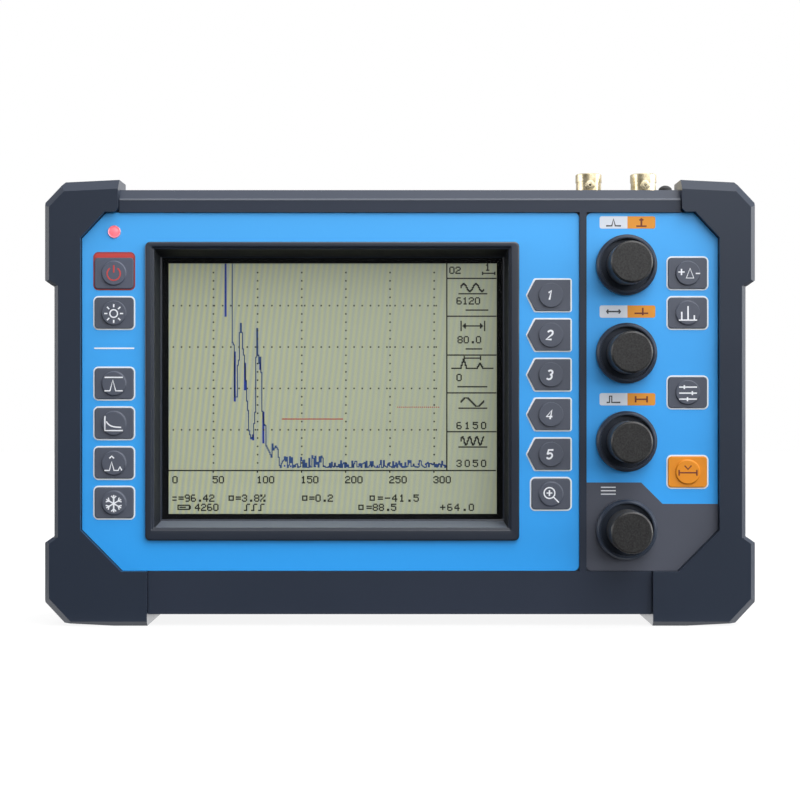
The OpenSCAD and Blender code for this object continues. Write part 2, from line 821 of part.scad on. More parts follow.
// The bezel's mouth narrows towards the window, by a wedge each way
module mouth_wedge() {
    d0 = -rim_rise;
    tall = mouth_h + mouth_w;
    intersection() {
        translate([0, 0, -tall / 2]) linear_extrude(tall)
            polygon([
                [-mouth_w / 2, d0], [mouth_w / 2, d0],
                [foot_open_w / 2, window_d], [-foot_open_w / 2, window_d]
            ]);
        translate([-tall / 2, 0, 0]) rotate([90, 0, 90]) linear_extrude(tall)
            polygon([
                [d0, -mouth_h / 2], [d0, mouth_h / 2],
                [window_d, foot_open_h / 2], [window_d, -foot_open_h / 2]
            ]);
    }
}

module screen_bezel() {
    rim_w = mouth_w + rim_left + rim_right;
    rim_h = mouth_h + rim_top + rim_bottom;
    color(bezel_color) difference() {
        union() {
            upright_at(screen_x + (rim_right - rim_left) / 2, screen_z + (rim_top - rim_bottom) / 2,
                -rim_rise, 0)
                soft_rect(rim_w, rim_h, rim_corner);
            upright_at(screen_x, screen_z, -rest_gap, bezel_end_y)
                square([bezel_w, bezel_h], center = true);
        }
        translate([screen_x, 0, screen_z]) mouth_wedge();
        upright_at(screen_x, screen_z, window_d, bezel_end_y + over)
            square([window_w + 2 * rest_gap, window_h + 2 * rest_gap], center = true);
    }
}

module screen_window() {
    color("#cdd6d8", 0.35) upright_at(screen_x, screen_z, window_d, window_d + window_t)
        square([window_w, window_h], center = true);
}

module window_gasket() {
    color(rubber_color) upright_at(screen_x, screen_z, window_d + window_t, lcd_y)
        difference() {
            square([window_w, window_h], center = true);
            square([view_w, view_h], center = true);
        }
}

module lcd_panel() {
    color("#a3aa8c") upright_at(screen_x, screen_z, lcd_y, lcd_y + lcd_t)
        square([lcd_w, lcd_h], center = true);
}

module lcd_frame() {
    color(steel_color) difference() {
        union() {
            upright_at(screen_x, screen_z, frame_y0, frame_y1)
                square([frame_w, frame_h], center = true);
            for (p = ear_places)
                block([p.x - ear_half, board_y + board_t, p.y - ear_half],
                    [p.x + ear_half, board_y + board_t + ear_t + frame_wall, p.y + ear_half]);
        }
        upright_at(screen_x, screen_z, frame_y0 - over, lcd_y + lcd_t)
            square([lcd_w + 2 * fit_gap, lcd_h + 2 * fit_gap], center = true);
        upright_at(screen_x, screen_z, board_y, frame_y0)
            square([bezel_w + 2 * fit_gap, bezel_h + 2 * fit_gap], center = true);
        for (p = ear_places) {
            rod_y(p.x, p.y, board_screw_r + fit_gap, board_y, frame_y1 + over);
            rod_y(p.x, p.y, board_head_r + fit_gap, board_y + board_t + ear_t, frame_y1 + over);
        }
    }
}

module power_led() {
    color("#f6828f") intersection() {
        rod_y(left_key_x, mid_z + led_up, led_r, -led_rise, board_y);
        translate([left_key_x, led_ball_r - led_rise, mid_z + led_up]) union() {
            sphere(led_ball_r);
            rotate([-90, 0, 0]) cylinder(r = led_ball_r - rest_gap, h = board_y);
        }
    }
}

// A key: a cap with a raised round pad, and a flange behind the wall
module key(i) {
    x = key_places[i].x;
    z = mid_z + key_places[i].y;
    union() {
        key_at(i, 0, -key_rise, flange_y + rest_gap);
        key_at(i, flange_side, flange_y, flange_y + flange_t);
        rod_y(x, z, pad_d / 2, -key_rise - pad_rise, -key_rise + rest_gap);
    }
}

module power_key() { color(key_color) key(0); }
module backlight_key() { color(key_color) key(1); }
module auto_height_key() { color(key_color) key(2); }
module gain_curve_key() { color(key_color) key(3); }
module peak_hold_key() { color(key_color) key(4); }
module freeze_key() { color(key_color) key(5); }
module f1_key() { color(key_color) key(6); }
module f2_key() { color(key_color) key(7); }
module f3_key() { color(key_color) key(8); }
module f4_key() { color(key_color) key(9); }
module f5_key() { color(key_color) key(10); }
module echo_zoom_key() { color(key_color) key(11); }
module gain_step_key() { color(key_color) key(12); }
module relative_gain_key() { color(key_color) key(13); }
module mode_key() { color(key_color) key(14); }
module gate_key() { color(orange_color) key(15); }

module key_switches() {
    color(rubber_color) for (p = key_places) {
        upright_at(p.x, mid_z + p.y, switch_y + switch_cap_h, board_y)
            square([switch_w, switch_w], center = true);
        rod_y(p.x, mid_z + p.y, switch_cap_r, switch_y, switch_y + switch_cap_h + rest_gap);
    }
}

module panel_board() {
    half = panel_x - board_side;
    color(board_color) difference() {
        block([-half, board_y, screen_z - board_down], [half, board_y + board_t, screen_z + board_up]);
        upright_at(screen_x, screen_z, board_y - over, board_y + board_t + over)
            square([bezel_w + 2 * board_gap, bezel_h + 2 * board_gap], center = true);
        for (p = concat(ear_places, board_places))
            rod_y(p.x, p.y, board_screw_r + fit_gap, board_y - over, board_y + board_t + over);
    }
}

// The screws of both boards: the first group also holds the display's frame
module board_screws() {
    color(steel_color) {
        for (p = ear_places) translate([p.x, board_y + board_t + ear_t, p.y])
            screw(board_screw_r, board_screw_l, board_head_r, board_head_h);
        for (p = board_places) translate([p.x, board_y + board_t, p.y])
            screw(board_screw_r, board_screw_l, board_head_r, board_head_h);
        for (p = main_places) translate([p.x, main_y, p.y]) rotate([0, 0, 180])
            screw(board_screw_r, board_screw_l, board_head_r, board_head_h);
    }
}

module knob_collars() {
    color(rubber_color) for (z = knob_zs) translate([knob_x, 0, z]) rotate([90, 0, 0]) difference() {
        union() {
            cylinder(r = collar_d / 2, h = collar_h - collar_bevel);
            translate([0, 0, collar_h - collar_bevel])
                cylinder(r1 = collar_d / 2, r2 = collar_d / 2 - collar_bevel, h = collar_bevel);
        }
        translate([0, 0, collar_floor]) cylinder(r = well_d / 2, h = collar_h);
        translate([0, 0, -over]) cylinder(r = bush_r + fit_gap, h = collar_h);
    }
}

module knob(i) {
    face_r = knob_d / 2 - knob_edge;
    color(rubber_color) translate([knob_x, 0, knob_zs[i]]) rotate([90, 0, 0]) difference() {
        union() {
            translate([0, 0, knob_low]) cylinder(r = knob_d / 2, h = knob_rise - knob_low - knob_edge);
            translate([0, 0, knob_rise - knob_edge])
                cylinder(r1 = knob_d / 2, r2 = face_r, h = knob_edge);
        }
        translate([0, 0, knob_low - over])
            cylinder(r = knob_hollow_r, h = knob_hollow_y - knob_low + over);
        cylinder(r = shaft_r + thread_gap, h = knob_rise - knob_cap_t);
    }
}

module gain_knob() { knob(0); }
module range_knob() { knob(1); }
module delay_knob() { knob(2); }
module menu_knob() { knob(3); }

module shaft(i, end_y) {
    color(steel_color) rod_y(knob_x, knob_zs[i], shaft_r, knob_cap_t + thread_gap - knob_rise, end_y);
}

module gain_shaft() { shaft(0, shaft_end_y); }
module range_shaft() { shaft(1, shaft_end_y); }
module delay_shaft() { shaft(2, shaft_end_y); }
module menu_shaft() { shaft(3, plunger_y0 - turn_gap); }

// The plunger takes the menu knob's push and lets its shaft turn
module menu_plunger() {
    color("#e8e4d8") rod_y(knob_x, knob_zs[3], shaft_r, plunger_y0, plunger_y0 + plunger_t);
}

module encoder_bodies() {
    color(steel_color) for (z = knob_zs) difference() {
        union() {
            upright_at(knob_x, z, inner_y, board_y) square([encoder_w, encoder_w], center = true);
            rod_y(knob_x, z, bush_r, -bush_rise, inner_y + rest_gap);
        }
        rod_y(knob_x, z, shaft_r + turn_gap, -bush_rise - over, encoder_bore_y);
    }
}

module encoder_nuts() {
    color(steel_color) for (z = knob_zs) translate([knob_x, -collar_floor, z]) rotate([90, 0, 0])
        difference() {
            cylinder(r = nut_r, h = nut_t, $fn = 6);
            translate([0, 0, -over]) cylinder(r = bush_r + thread_gap, h = nut_t + 2 * over);
        }
}

// Main board with its shield, processor and coil
module main_board() {
    shield = [62, 4.5, 34];
    processor = [24, 2, 24];
    processor_up = 24;
    coil = [16, 5, 12];
    coil_up = 12;
    coil_x = 2 * ear_half - main_screw_x;
    color(board_color) difference() {
        union() {
            block([-main_w / 2, main_y, main_z0], [main_w / 2, main_y + board_t, main_top_z]);
            block([jack_x - shield.x, main_y - shield.y, main_screw_z1 - shield.z - 2 * ear_half],
                [jack_x, main_y + rest_gap, main_screw_z1 - 2 * ear_half]);
            block([-processor.x, main_y - processor.y, main_z0 + processor_up],
                [0, main_y + rest_gap, main_z0 + processor_up + processor.z]);
            block([coil_x, main_y - coil.y, main_z0 + coil_up],
                [coil_x + coil.x, main_y + rest_gap, main_z0 + coil_up + coil.z]);
        }
        for (p = main_places)
            rod_y(p.x, p.y, board_screw_r + fit_gap, main_y - over, main_y + board_t + over);
    }
}

// Four round cells side by side in two rows, in one sleeve
module battery_pack() {
    y0 = bay_front_y + bay_floor_t + battery_gap;
    y1 = door_y - rest_gap - battery_gap;
    color("#3565a8") translate([bay_x, 0, bay_z]) difference() {
        block([-battery_w / 2, y0, -battery_h / 2 - bay_side + battery_gap],
            [battery_w / 2, y1, battery_h / 2 - bay_side + battery_gap]);
        for (y = [y0, y1])
            translate([0, y, -bay_side + battery_gap]) rotate([45, 0, 0])
                cube([battery_w + over, 4 * cell_seam, 4 * cell_seam], center = true);
    }
}

module battery_door() {
    color(shell_color) difference() {
        upright_at(bay_x, bay_z, door_y, case_d) soft_rect(door_w, door_h, over);
        for (p = door_places)
            rod_y(p.x, p.y, board_screw_r + fit_gap, door_y - over, case_d + over);
    }
}

module door_screws() {
    color(steel_color) for (p = door_places) translate([p.x, case_d, p.y])
        screw(board_screw_r, door_screw_l, board_head_r, board_head_h);
}

// A bayonet jack with two lugs, its thread through the top wall
module jack_shells() {
    z1 = case_z1 + jack_rise;
    color(nickel_color) for (i = [0, 1]) translate([jack_x + i * jack_spacing, jack_y, 0]) difference() {
        union() {
            rod_z(0, 0, jack_neck_r, case_z1 + jack_flange_t - rest_gap, z1 - lug_down + lug_r + fit_gap);
            rod_z(0, 0, jack_r, z1 - lug_down + lug_r + rest_gap, z1 - jack_edge);
            translate([0, 0, z1 - jack_edge])
                cylinder(r1 = jack_r, r2 = jack_r - jack_edge, h = jack_edge);
            rod_z(0, 0, jack_flange_r, case_z1, case_z1 + jack_flange_t);
            rod_z(0, 0, jack_thread_r, case_z1 - jack_tail, case_z1 + rest_gap);
            rod_y(0, z1 - lug_down, lug_r, -lug_span / 2, lug_span / 2);
        }
        rod_z(0, 0, jack_bore_r, z1 - jack_bore_d, z1 + over);
        rod_z(0, 0, insulator_r + thread_gap, case_z1 - jack_tail - over, z1);
    }
}

module jack_insulators() {
    color("#ece9df") for (i = [0, 1]) translate([jack_x + i * jack_spacing, jack_y, 0]) difference() {
        rod_z(0, 0, insulator_r, case_z1 - jack_tail - insulator_tail,
            case_z1 + jack_rise - insulator_down);
        rod_z(0, 0, contact_r + thread_gap, case_z1 - jack_tail - insulator_tail - over,
            case_z1 + jack_rise);
    }
}

module jack_contacts() {
    z1 = case_z1 + jack_rise - insulator_down;
    color("#d2a94a") for (i = [0, 1]) translate([jack_x + i * jack_spacing, jack_y, 0]) difference() {
        rod_z(0, 0, contact_r, case_z1 - jack_tail - contact_tail, z1);
        rod_z(0, 0, contact_bore_r, z1 - contact_bore_d, z1 + over);
    }
}

module jack_nuts() {
    color(steel_color) for (i = [0, 1])
        translate([jack_x + i * jack_spacing, jack_y, case_z1 - wall - jack_nut_t]) difference() {
            cylinder(r = jack_nut_r, h = jack_nut_t, $fn = 6);
            translate([0, 0, -over])
                cylinder(r = jack_thread_r + thread_gap, h = jack_nut_t + 2 * over);
        }
}

module charge_socket() {
    z1 = case_z1 + socket_flange_t;
    color(steel_color) translate([socket_x, socket_y, 0]) union() {
        difference() {
            union() {
                rod_z(0, 0, socket_flange_r, case_z1, z1);
                rod_z(0, 0, socket_body_r, case_z1 - socket_tail, case_z1 + rest_gap);
            }
            rod_z(0, 0, socket_d / 2, z1 - socket_bore_d, z1 + over);
        }
        rod_z(0, 0, socket_pin_r, z1 - socket_bore_d - rest_gap, case_z1);
    }
}

module socket_plug() {
    z0 = case_z1 + socket_flange_t + plug_gap;
    z1 = z0 + plug_flange_t;
    color(rubber_color) translate([socket_x, socket_y, 0]) union() {
        rod_z(0, 0, plug_flange_r, z0, z1);
        intersection() {
            rod_z(0, 0, plug_grip_d / 2, z1 - rest_gap, z1 + plug_grip_h);
            translate([0, 0, z1 + plug_grip_h - plug_ball_r]) union() {
                sphere(plug_ball_r);
                mirror([0, 0, 1]) cylinder(r = plug_ball_r - rest_gap, h = plug_ball_r);
            }
        }
        difference() {
            rod_z(0, 0, plug_stem_r, z0 - plug_stem_l, z0 + rest_gap);
            rod_z(0, 0, plug_hollow_r, z0 - plug_stem_l - over, z0);
        }
    }
}

module tilt_stand() {
    y0 = case_d + stand_gap;
    color("#454c58") difference() {
        union() {
            rod_x(hinge_y, hinge_z, barrel_r, -stand_w / 2, stand_w / 2);
            upright(y0, y0 + stand_t) difference() {
                polygon([
                    [-stand_w / 2, hinge_z], [-stand_w / 2, hinge_z - stand_h + stand_corner],
                    [stand_corner - stand_w / 2, hinge_z - stand_h],
                    [stand_w / 2 - stand_corner, hinge_z - stand_h],
                    [stand_w / 2, hinge_z - stand_h + stand_corner], [stand_w / 2, hinge_z]
                ]);
                translate([0, hinge_z - stand_h]) circle(r = stand_notch_r);
            }
        }
        rod_x(hinge_y, hinge_z, stand_pin_d / 2 + turn_gap, -stand_w, stand_w);
    }
}

module stand_pin() {
    l = stand_w / 2 + lug_gap + lug_t;
    color(steel_color) rod_x(hinge_y, hinge_z, stand_pin_d / 2, -l, l);
}

// Every piece, moved so that the whole instrument is centred on the origin
module placed() {
    translate([0, -mid_y, 0]) children();
}

placed() front_shell();
placed() rear_shell();
placed() case_seal();
placed() case_screws();
placed() front_left_guard();
placed() front_right_guard();
placed() rear_left_guard();
placed() rear_right_guard();
placed() guard_screws();
placed() left_panel_sheet();
placed() right_panel_sheet();
placed() screen_bezel();
placed() screen_window();
placed() window_gasket();
placed() lcd_panel();
placed() lcd_frame();
placed() power_led();
placed() power_key();
placed() backlight_key();
placed() auto_height_key();
placed() gain_curve_key();
placed() peak_hold_key();
placed() freeze_key();
placed() f1_key();
placed() f2_key();
placed() f3_key();
placed() f4_key();
placed() f5_key();
placed() echo_zoom_key();
placed() gain_step_key();
placed() relative_gain_key();
placed() mode_key();
placed() gate_key();
placed() key_switches();
placed() panel_board();
placed() knob_collars();
placed() gain_knob();
placed() range_knob();
placed() delay_knob();
placed() menu_knob();
placed() gain_shaft();
placed() range_shaft();
placed() delay_shaft();
placed() menu_shaft();
placed() menu_plunger();
placed() encoder_bodies();
placed() encoder_nuts();
placed() main_board();
placed() board_screws();
placed() battery_pack();
placed() battery_door();
placed() door_screws();
placed() jack_shells();
placed() jack_insulators();
placed() jack_contacts();
placed() jack_nuts();
placed() charge_socket();
placed() socket_plug();
placed() tilt_stand();
placed() stand_pin();
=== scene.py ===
# Portable ultrasonic flaw detector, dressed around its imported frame.
# X runs across the front, the front faces -Y and Z rises from the feet, in metres.
import json
import math
import random
import re

import bmesh
import bpy
from mathutils import Matrix, Vector


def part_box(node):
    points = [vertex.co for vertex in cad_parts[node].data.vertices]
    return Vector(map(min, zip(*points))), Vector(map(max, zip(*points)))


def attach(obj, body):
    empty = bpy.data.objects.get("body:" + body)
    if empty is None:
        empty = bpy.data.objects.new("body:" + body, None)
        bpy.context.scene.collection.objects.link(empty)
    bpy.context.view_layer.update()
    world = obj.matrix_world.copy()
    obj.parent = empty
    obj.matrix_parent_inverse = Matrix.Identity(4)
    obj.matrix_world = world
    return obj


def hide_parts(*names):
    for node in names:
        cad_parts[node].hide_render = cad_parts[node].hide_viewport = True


mm = 0.001

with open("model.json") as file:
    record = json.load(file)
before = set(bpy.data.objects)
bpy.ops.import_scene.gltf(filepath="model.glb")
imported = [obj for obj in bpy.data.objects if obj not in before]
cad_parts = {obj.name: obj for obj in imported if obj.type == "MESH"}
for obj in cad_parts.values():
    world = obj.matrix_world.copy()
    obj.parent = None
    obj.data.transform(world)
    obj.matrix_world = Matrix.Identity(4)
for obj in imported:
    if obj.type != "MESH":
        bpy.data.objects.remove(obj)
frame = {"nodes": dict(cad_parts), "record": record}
nodes = frame["nodes"]
slotOf = {part["node"]: part["material_slot"] for part in frame["record"]["subparts"]}
bodies = frame["record"]["behaviour"]["bodies"]
bodyOf = {node: body for body, members in bodies.items() for node in members}
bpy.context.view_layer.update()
print("frame loaded:", len(nodes), "nodes")

panelLow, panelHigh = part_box("left_panel_sheet")
panelY = panelLow.y  # face of the printed sheets


def placed(name, data):
    piece = bpy.data.objects.new(name, data)
    bpy.context.scene.collection.objects.link(piece)
    return piece


# Camera: level, straight at the front, as far off as the jacks' place behind the rail shows
shot = {"distance": 615 * mm, "height": 78.85 * mm, "frameWidth": 280 * mm, "sensor": 36,
        "nearest": 10 * mm}
cameraData = bpy.data.cameras.new("studioCamera")
cameraData.sensor_width = shot["sensor"]
cameraData.lens = shot["sensor"] * shot["distance"] / shot["frameWidth"]
cameraData.clip_start = shot["nearest"]
camera = placed("studioCamera", cameraData)
camera.location = (0, panelY - shot["distance"], shot["height"])
camera.rotation_euler = (math.pi / 2, 0, 0)
bpy.context.scene.camera = camera
print("camera set")


# Small helpers for picking and finishing pieces
def pickOnly(piece):
    bpy.ops.object.select_all(action="DESELECT")
    piece.hide_set(False)
    piece.select_set(True)
    bpy.context.view_layer.objects.active = piece


def applyModifiers(piece):
    pickOnly(piece)
    for modifier in list(piece.modifiers):
        bpy.ops.object.modifier_apply(modifier=modifier.name)


def settle(piece):
    # moves a piece's place and turn into its mesh
    pickOnly(piece)
    bpy.ops.object.transform_apply(location=True, rotation=True, scale=True)


def smoothed(piece, degrees=35):
    pickOnly(piece)
    bpy.ops.object.shade_smooth_by_angle(angle=math.radians(degrees))


def bevelled(piece, width, steps, degrees=30):
    # rounds the edges that turn by more than the angle
    bevel = piece.modifiers.new("edges", "BEVEL")
    bevel.width = width
    bevel.segments = steps
    bevel.limit_method = "ANGLE"
    bevel.angle_limit = math.radians(degrees)
    applyModifiers(piece)
    smoothed(piece)


def camelName(nodeName):
    # a piece takes its node's name, written in one word
    words = nodeName.split("_")
    return words[0] + "".join(word.capitalize() for word in words[1:])


def dress(piece, name, body, look, replaced=()):
    piece.name = name
    piece.data.materials.clear()
    piece.data.materials.append(look)
    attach(piece, body)
    if replaced:
        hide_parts(*replaced)
    return piece


def shapePiece(name, shape):
    mesh = bpy.data.meshes.new(name)
    shape.to_mesh(mesh)
    shape.free()
    return placed(name, mesh)


def arc(centre, radius, start, end, steps):
    points = []
    for step in range(steps + 1):
        angle = math.radians(start + (end - start) * step / steps)
        points.append((centre[0] + radius * math.cos(angle), centre[1] + radius * math.sin(angle)))
    return points


# Materials
def linear(hexColour):
    values = []
    for start in (0, 2, 4):
        value = int(hexColour[start:start + 2], 16) / 255
        values.append(value / 12.92 if value <= 0.04045 else ((value + 0.055) / 1.055) ** 2.4)
    return (*values, 1)


def addNode(tree, kind, settings=None, links=None):
    # settings: socket or attribute to value; links: socket to an output; a socket is a name or number
    node = tree.nodes.new(kind)
    for key, value in (settings or {}).items():
        if isinstance(key, int) or key in node.inputs:
            node.inputs[key].default_value = value
        else:
            setattr(node, key, value)
    for key, output in (links or {}).items():
        tree.links.new(output, node.inputs[key])
    return node


def between(low, high, start=0.0, end=1.0):
    # settings of a map range: low becomes start, high becomes end
    return {"From Min": low, "From Max": high, "To Min": start, "To Max": end}


def newLook(name, colour, roughness, metallic=0.0, more=None):
    look = bpy.data.materials.new(name)
    look.use_nodes = True
    tree = look.node_tree
    shader = tree.nodes["Principled BSDF"]
    shader.inputs["Base Color"].default_value = linear(colour)
    shader.inputs["Roughness"].default_value = roughness
    shader.inputs["Metallic"].default_value = metallic
    for key, value in (more or {}).items():
        shader.inputs[key].default_value = value
    place = addNode(tree, "ShaderNodeTexCoord")
    return look, tree, shader, place.outputs["Object"]


def addGrain(tree, shader, place, size, height, spread=0.0, detail=3.0):
    # size is the distance between the grain's bumps, height their rise, both in metres
    grain = addNode(tree, "ShaderNodeTexNoise", {"Scale": 1 / size, "Detail": detail, "Roughness": 0.6},
                    {"Vector": place})
    bump = addNode(tree, "ShaderNodeBump", {"Strength": 1.0, "Distance": height},
                   {"Height": grain.outputs["Fac"]})
    tree.links.new(bump.outputs["Normal"], shader.inputs["Normal"])
    if spread:
        even = shader.inputs["Roughness"].default_value
        rough = addNode(tree, "ShaderNodeMapRange", between(0, 1, even - spread, even + spread),
                        {"Value": grain.outputs["Fac"]})
        tree.links.new(rough.outputs["Result"], shader.inputs["Roughness"])


def addShades(tree, shader, place, dark, light, size, reach=0.5):
    # soft clouds of two shades, as handled plastic has; a reach under 0.5 parts the shades more
    cloud = addNode(tree, "ShaderNodeTexNoise", {"Scale": 1 / size, "Detail": 2.0}, {"Vector": place})
    spread = addNode(tree, "ShaderNodeMapRange", between(0.5 - reach, 0.5 + reach),
                     {"Value": cloud.outputs["Fac"]})
    mix = addNode(tree, "ShaderNodeMix", {"data_type": "RGBA", 6: linear(dark), 7: linear(light)},
                  {"Factor": spread.outputs["Result"]})  # 6 and 7, and 2 going out, carry colour
    tree.links.new(mix.outputs[2], shader.inputs["Base Color"])


def mouldedAbs(name, dark, light, roughness, grain=0.45 * mm, height=0.012 * mm, shine=0.4):
    # ABS moulded in a spark-eroded tool: a fine dull grain with a faint sheen
    look, tree, shader, place = newLook(name, dark, roughness, more={"Specular IOR Level": shine})
    addShades(tree, shader, place, dark, light, size=40 * mm)
    addGrain(tree, shader, place, grain, height, spread=0.05)
    return look


def printedSheet():
    # polyester film, printed from behind: blue, lighter towards the top and deeper at the foot as
    # painted light from above, with a soft satin face
    look, tree, shader, place = newLook("printedPolyester", "4aa4ee", 0.42,
                                        more={"Specular IOR Level": 0.36})
    split = addNode(tree, "ShaderNodeSeparateXYZ", None, {"Vector": place})
    rise = addNode(tree, "ShaderNodeMapRange", between(panelLow.z, panelHigh.z),
                   {"Value": split.outputs["Z"]})
    # painted light: the ramp runs the blue from a deeper shade at the foot to a lighter one at the top
    ramp = addNode(tree, "ShaderNodeValToRGB", None, {"Fac": rise.outputs["Result"]})
    ramp.color_ramp.elements[0].color = linear("2a9def")
    ramp.color_ramp.elements[1].color = linear("46a7ef")
    tree.links.new(ramp.outputs["Color"], shader.inputs["Base Color"])
    addGrain(tree, shader, place, size=0.25 * mm, height=0.003 * mm, spread=0.04)
    return look


bands = {"lean": -6, "apart": 2.0 * mm, "waver": 1.2, "cool": "959f95", "warm": "aaad86",
         "even": "979e8a", "fade": (-70 * mm, 25 * mm), "evenShare": 0.6, "glow": 0.35}


def displayGlass():
    # liquid crystal display with its back light on: grey-green, with soft slanting bands of warmer
    # and cooler tone that fade to the right, and a little of its own light
    look, tree, shader, place = newLook("liquidCrystalGlass", "9aa087", 0.35)
    lean = addNode(tree, "ShaderNodeMapping", {"Rotation": (0, math.radians(bands["lean"]), 0)},
                   {"Vector": place})
    waves = addNode(tree, "ShaderNodeTexWave",  # at scale 1 the bands lie 0.314 m apart
                    {"Scale": 0.314 / bands["apart"], "Distortion": bands["waver"], "Detail": 1.0,
                     "Detail Scale": 0.4, "wave_type": "BANDS", "bands_direction": "X"},
                    {"Vector": lean.outputs["Vector"]})
    ramp = addNode(tree, "ShaderNodeValToRGB", None, {"Fac": waves.outputs["Fac"]})
    ramp.color_ramp.elements[0].color = linear(bands["cool"])
    ramp.color_ramp.elements[1].color = linear(bands["warm"])
    split = addNode(tree, "ShaderNodeSeparateXYZ", None, {"Vector": place})
    fade = addNode(tree, "ShaderNodeMapRange", between(*bands["fade"], 0, bands["evenShare"]),
                   {"Value": split.outputs["X"]})
    mix = addNode(tree, "ShaderNodeMix", {"data_type": "RGBA", 7: linear(bands["even"])},
                  {"Factor": fade.outputs["Result"], 6: ramp.outputs["Color"]})
    tree.links.new(mix.outputs[2], shader.inputs["Base Color"])
    tree.links.new(mix.outputs[2], shader.inputs["Emission Color"])
    shader.inputs["Emission Strength"].default_value = bands["glow"]
    return look


def flatInk(name, colour, roughness=0.5, glow=0.0):
    # screen-printed ink or display dots: even colour with a faint speckle
    look, tree, shader, place = newLook(name, colour, roughness)
    addGrain(tree, shader, place, size=0.3 * mm, height=0.002 * mm)
    if glow:
        shader.inputs["Emission Color"].default_value = linear(colour)
        shader.inputs["Emission Strength"].default_value = glow
    return look


def softTouch(name, colour, roughness, shine=0.5, speck=None):
    # rubbery paint on a moulded knob: dull black with a powdery fine grain
    look, tree, shader, place = newLook(name, colour, roughness, more={
        "Sheen Weight": 0.04, "Sheen Roughness": 0.4, "Specular IOR Level": shine})
    if speck:
        addShades(tree, shader, place, colour, speck, size=0.6 * mm, reach=0.22)
    addGrain(tree, shader, place, size=0.5 * mm, height=0.05 * mm, spread=0.06)
    return look


def platedMetal(name, colour, roughness, grain=0.2 * mm):
    # turned and plated metal: bright, with fine tool marks that blur its reflections
    look, tree, shader, place = newLook(name, colour, roughness, metallic=1.0)
    addGrain(tree, shader, place, grain, height=0.002 * mm, spread=0.06)
    return look


def nickelPlate():
    # bright nickel over brass: cream-white with straw-coloured tints, and partly satin
    look, tree, shader, place = newLook("nickelPlate", "d8cca8", 0.26, metallic=0.78)
    addShades(tree, shader, place, "97865c", "e9dfc4", size=2.2 * mm)
    return look


def clearWindow():
    # hard-coated acrylic: seen only by its weak reflections
    look, tree, shader, place = newLook("clearAcrylic", "2c3236", 0.06,
                                        more={"Alpha": 0.05, "IOR": 1.49})
    addGrain(tree, shader, place, size=20 * mm, height=0.01 * mm)
    return look


def circuitBoard():
    # glass-fibre board with green solder mask
    look, tree, shader, place = newLook("solderMask", "1f6b3a", 0.35)
    addShades(tree, shader, place, "1b5f33", "277a45", size=5 * mm)
    addGrain(tree, shader, place, size=0.6 * mm, height=0.01 * mm)
    return look


def litLens():
    # frosted red lens, lit from behind
    look, tree, shader, place = newLook("litRedLens", "f6707c", 0.25)
    addGrain(tree, shader, place, size=0.4 * mm, height=0.01 * mm)
    shader.inputs["Emission Color"].default_value = linear("ff6f7c")
    shader.inputs["Emission Strength"].default_value = 0.55
    return look


caseLook = mouldedAbs("caseAbs", "272f3d", "2e3544", 0.34, shine=0.3)
guardLook = mouldedAbs("guardAbs", "242c3a", "2a3240", 0.34, shine=0.28)
bezelLook = mouldedAbs("bezelAbs", "222834", "272e3a", 0.24, shine=0.6)
paintedShadeWellLook = mouldedAbs("wellAbs", "1e2127", "22252b", 0.55, shine=0.12)  # dull, round the window, and darker than the frame: painted shade in the recess
paintedLightSillLook = mouldedAbs("sillAbs", "5a616c", "626974", 0.48, shine=0.3)  # pale: painted light, for the top light that falls on this upward slope
creaseHighlightLook = mouldedAbs("burnishedAbs", "686d77", "737882", 0.26)  # pale: a painted highlight along the top rail's crease
standLook = mouldedAbs("standAbs", "313844", "38404c", 0.46)
# the silicone keys have a finer grain than the case
keyGrain = {"grain": 0.3 * mm, "height": 0.006 * mm}
keyLook = mouldedAbs("keySilicone", "4a4f5c", "525764", 0.4, **keyGrain)
gateKeyLook = mouldedAbs("orangeKeySilicone", "dc8718", "e39121", 0.4, **keyGrain)
powerKeyLook = mouldedAbs("powerKeySilicone", "4f5464", "575c6c", 0.4, **keyGrain)
sheetLook = printedSheet()
displayLook = displayGlass()
windowLook = clearWindow()
knobLook = softTouch("softTouchBlack", "020203", 0.4, speck="29292a")
collarLook = softTouch("collarBlack", "2a3342", 0.38, shine=0.3)
rubberLook = softTouch("mouldedRubber", "202124", 0.7)
sealLook = softTouch("sealRubber", "09090b", 0.85, shine=0.1)
nickelLook = nickelPlate()
goldLook = platedMetal("goldPlate", "d9ad52", 0.22)
zincLook = platedMetal("zincPlate", "b8babd", 0.32)
ptfeLook = mouldedAbs("whitePtfe", "e9e6dc", "f1eee6", 0.38, grain=0.3 * mm, height=0.004 * mm)
boardLook = circuitBoard()
sleeveLook = mouldedAbs("shrinkSleeve", "2f5f9f", "376aad", 0.3, grain=1 * mm, height=0.01 * mm)
lensLook = litLens()
whiteInk = flatInk("whiteInk", "e9eff4")
legendInk = flatInk("paleLegendInk", "e3e6ec")
tagWhiteInk = flatInk("tagWhiteInk", "cfd6e0")
tagOrangeInk = flatInk("tagOrangeInk", "d88e26")
redInk = flatInk("darkRedInk", "953c3c")
brightRedInk = flatInk("redLegendInk", "bf3f3c")
lensRimInk = flatInk("pinkRimInk", "f2c3d2")
brownInk = flatInk("brownLegendInk", "6a2a1c")
darkInk = flatInk("darkLegendInk", "33383f")
menuInk = mouldedAbs("menuGreyInk", "444854", "505461", 0.5, grain=0.5 * mm, height=0.01 * mm)
dotInk = flatInk("displayDotInk", "14170f", 0.35)
gridInk = flatInk("displayGridInk", "31362a", 0.35)
traceInk = flatInk("traceBlueInk", "1738a4", 0.35)
thinTraceInk = flatInk("thinTraceInk", "25477f", 0.35)
gateInk = flatInk("gateRedInk", "b4201c", 0.35)
print("materials made")

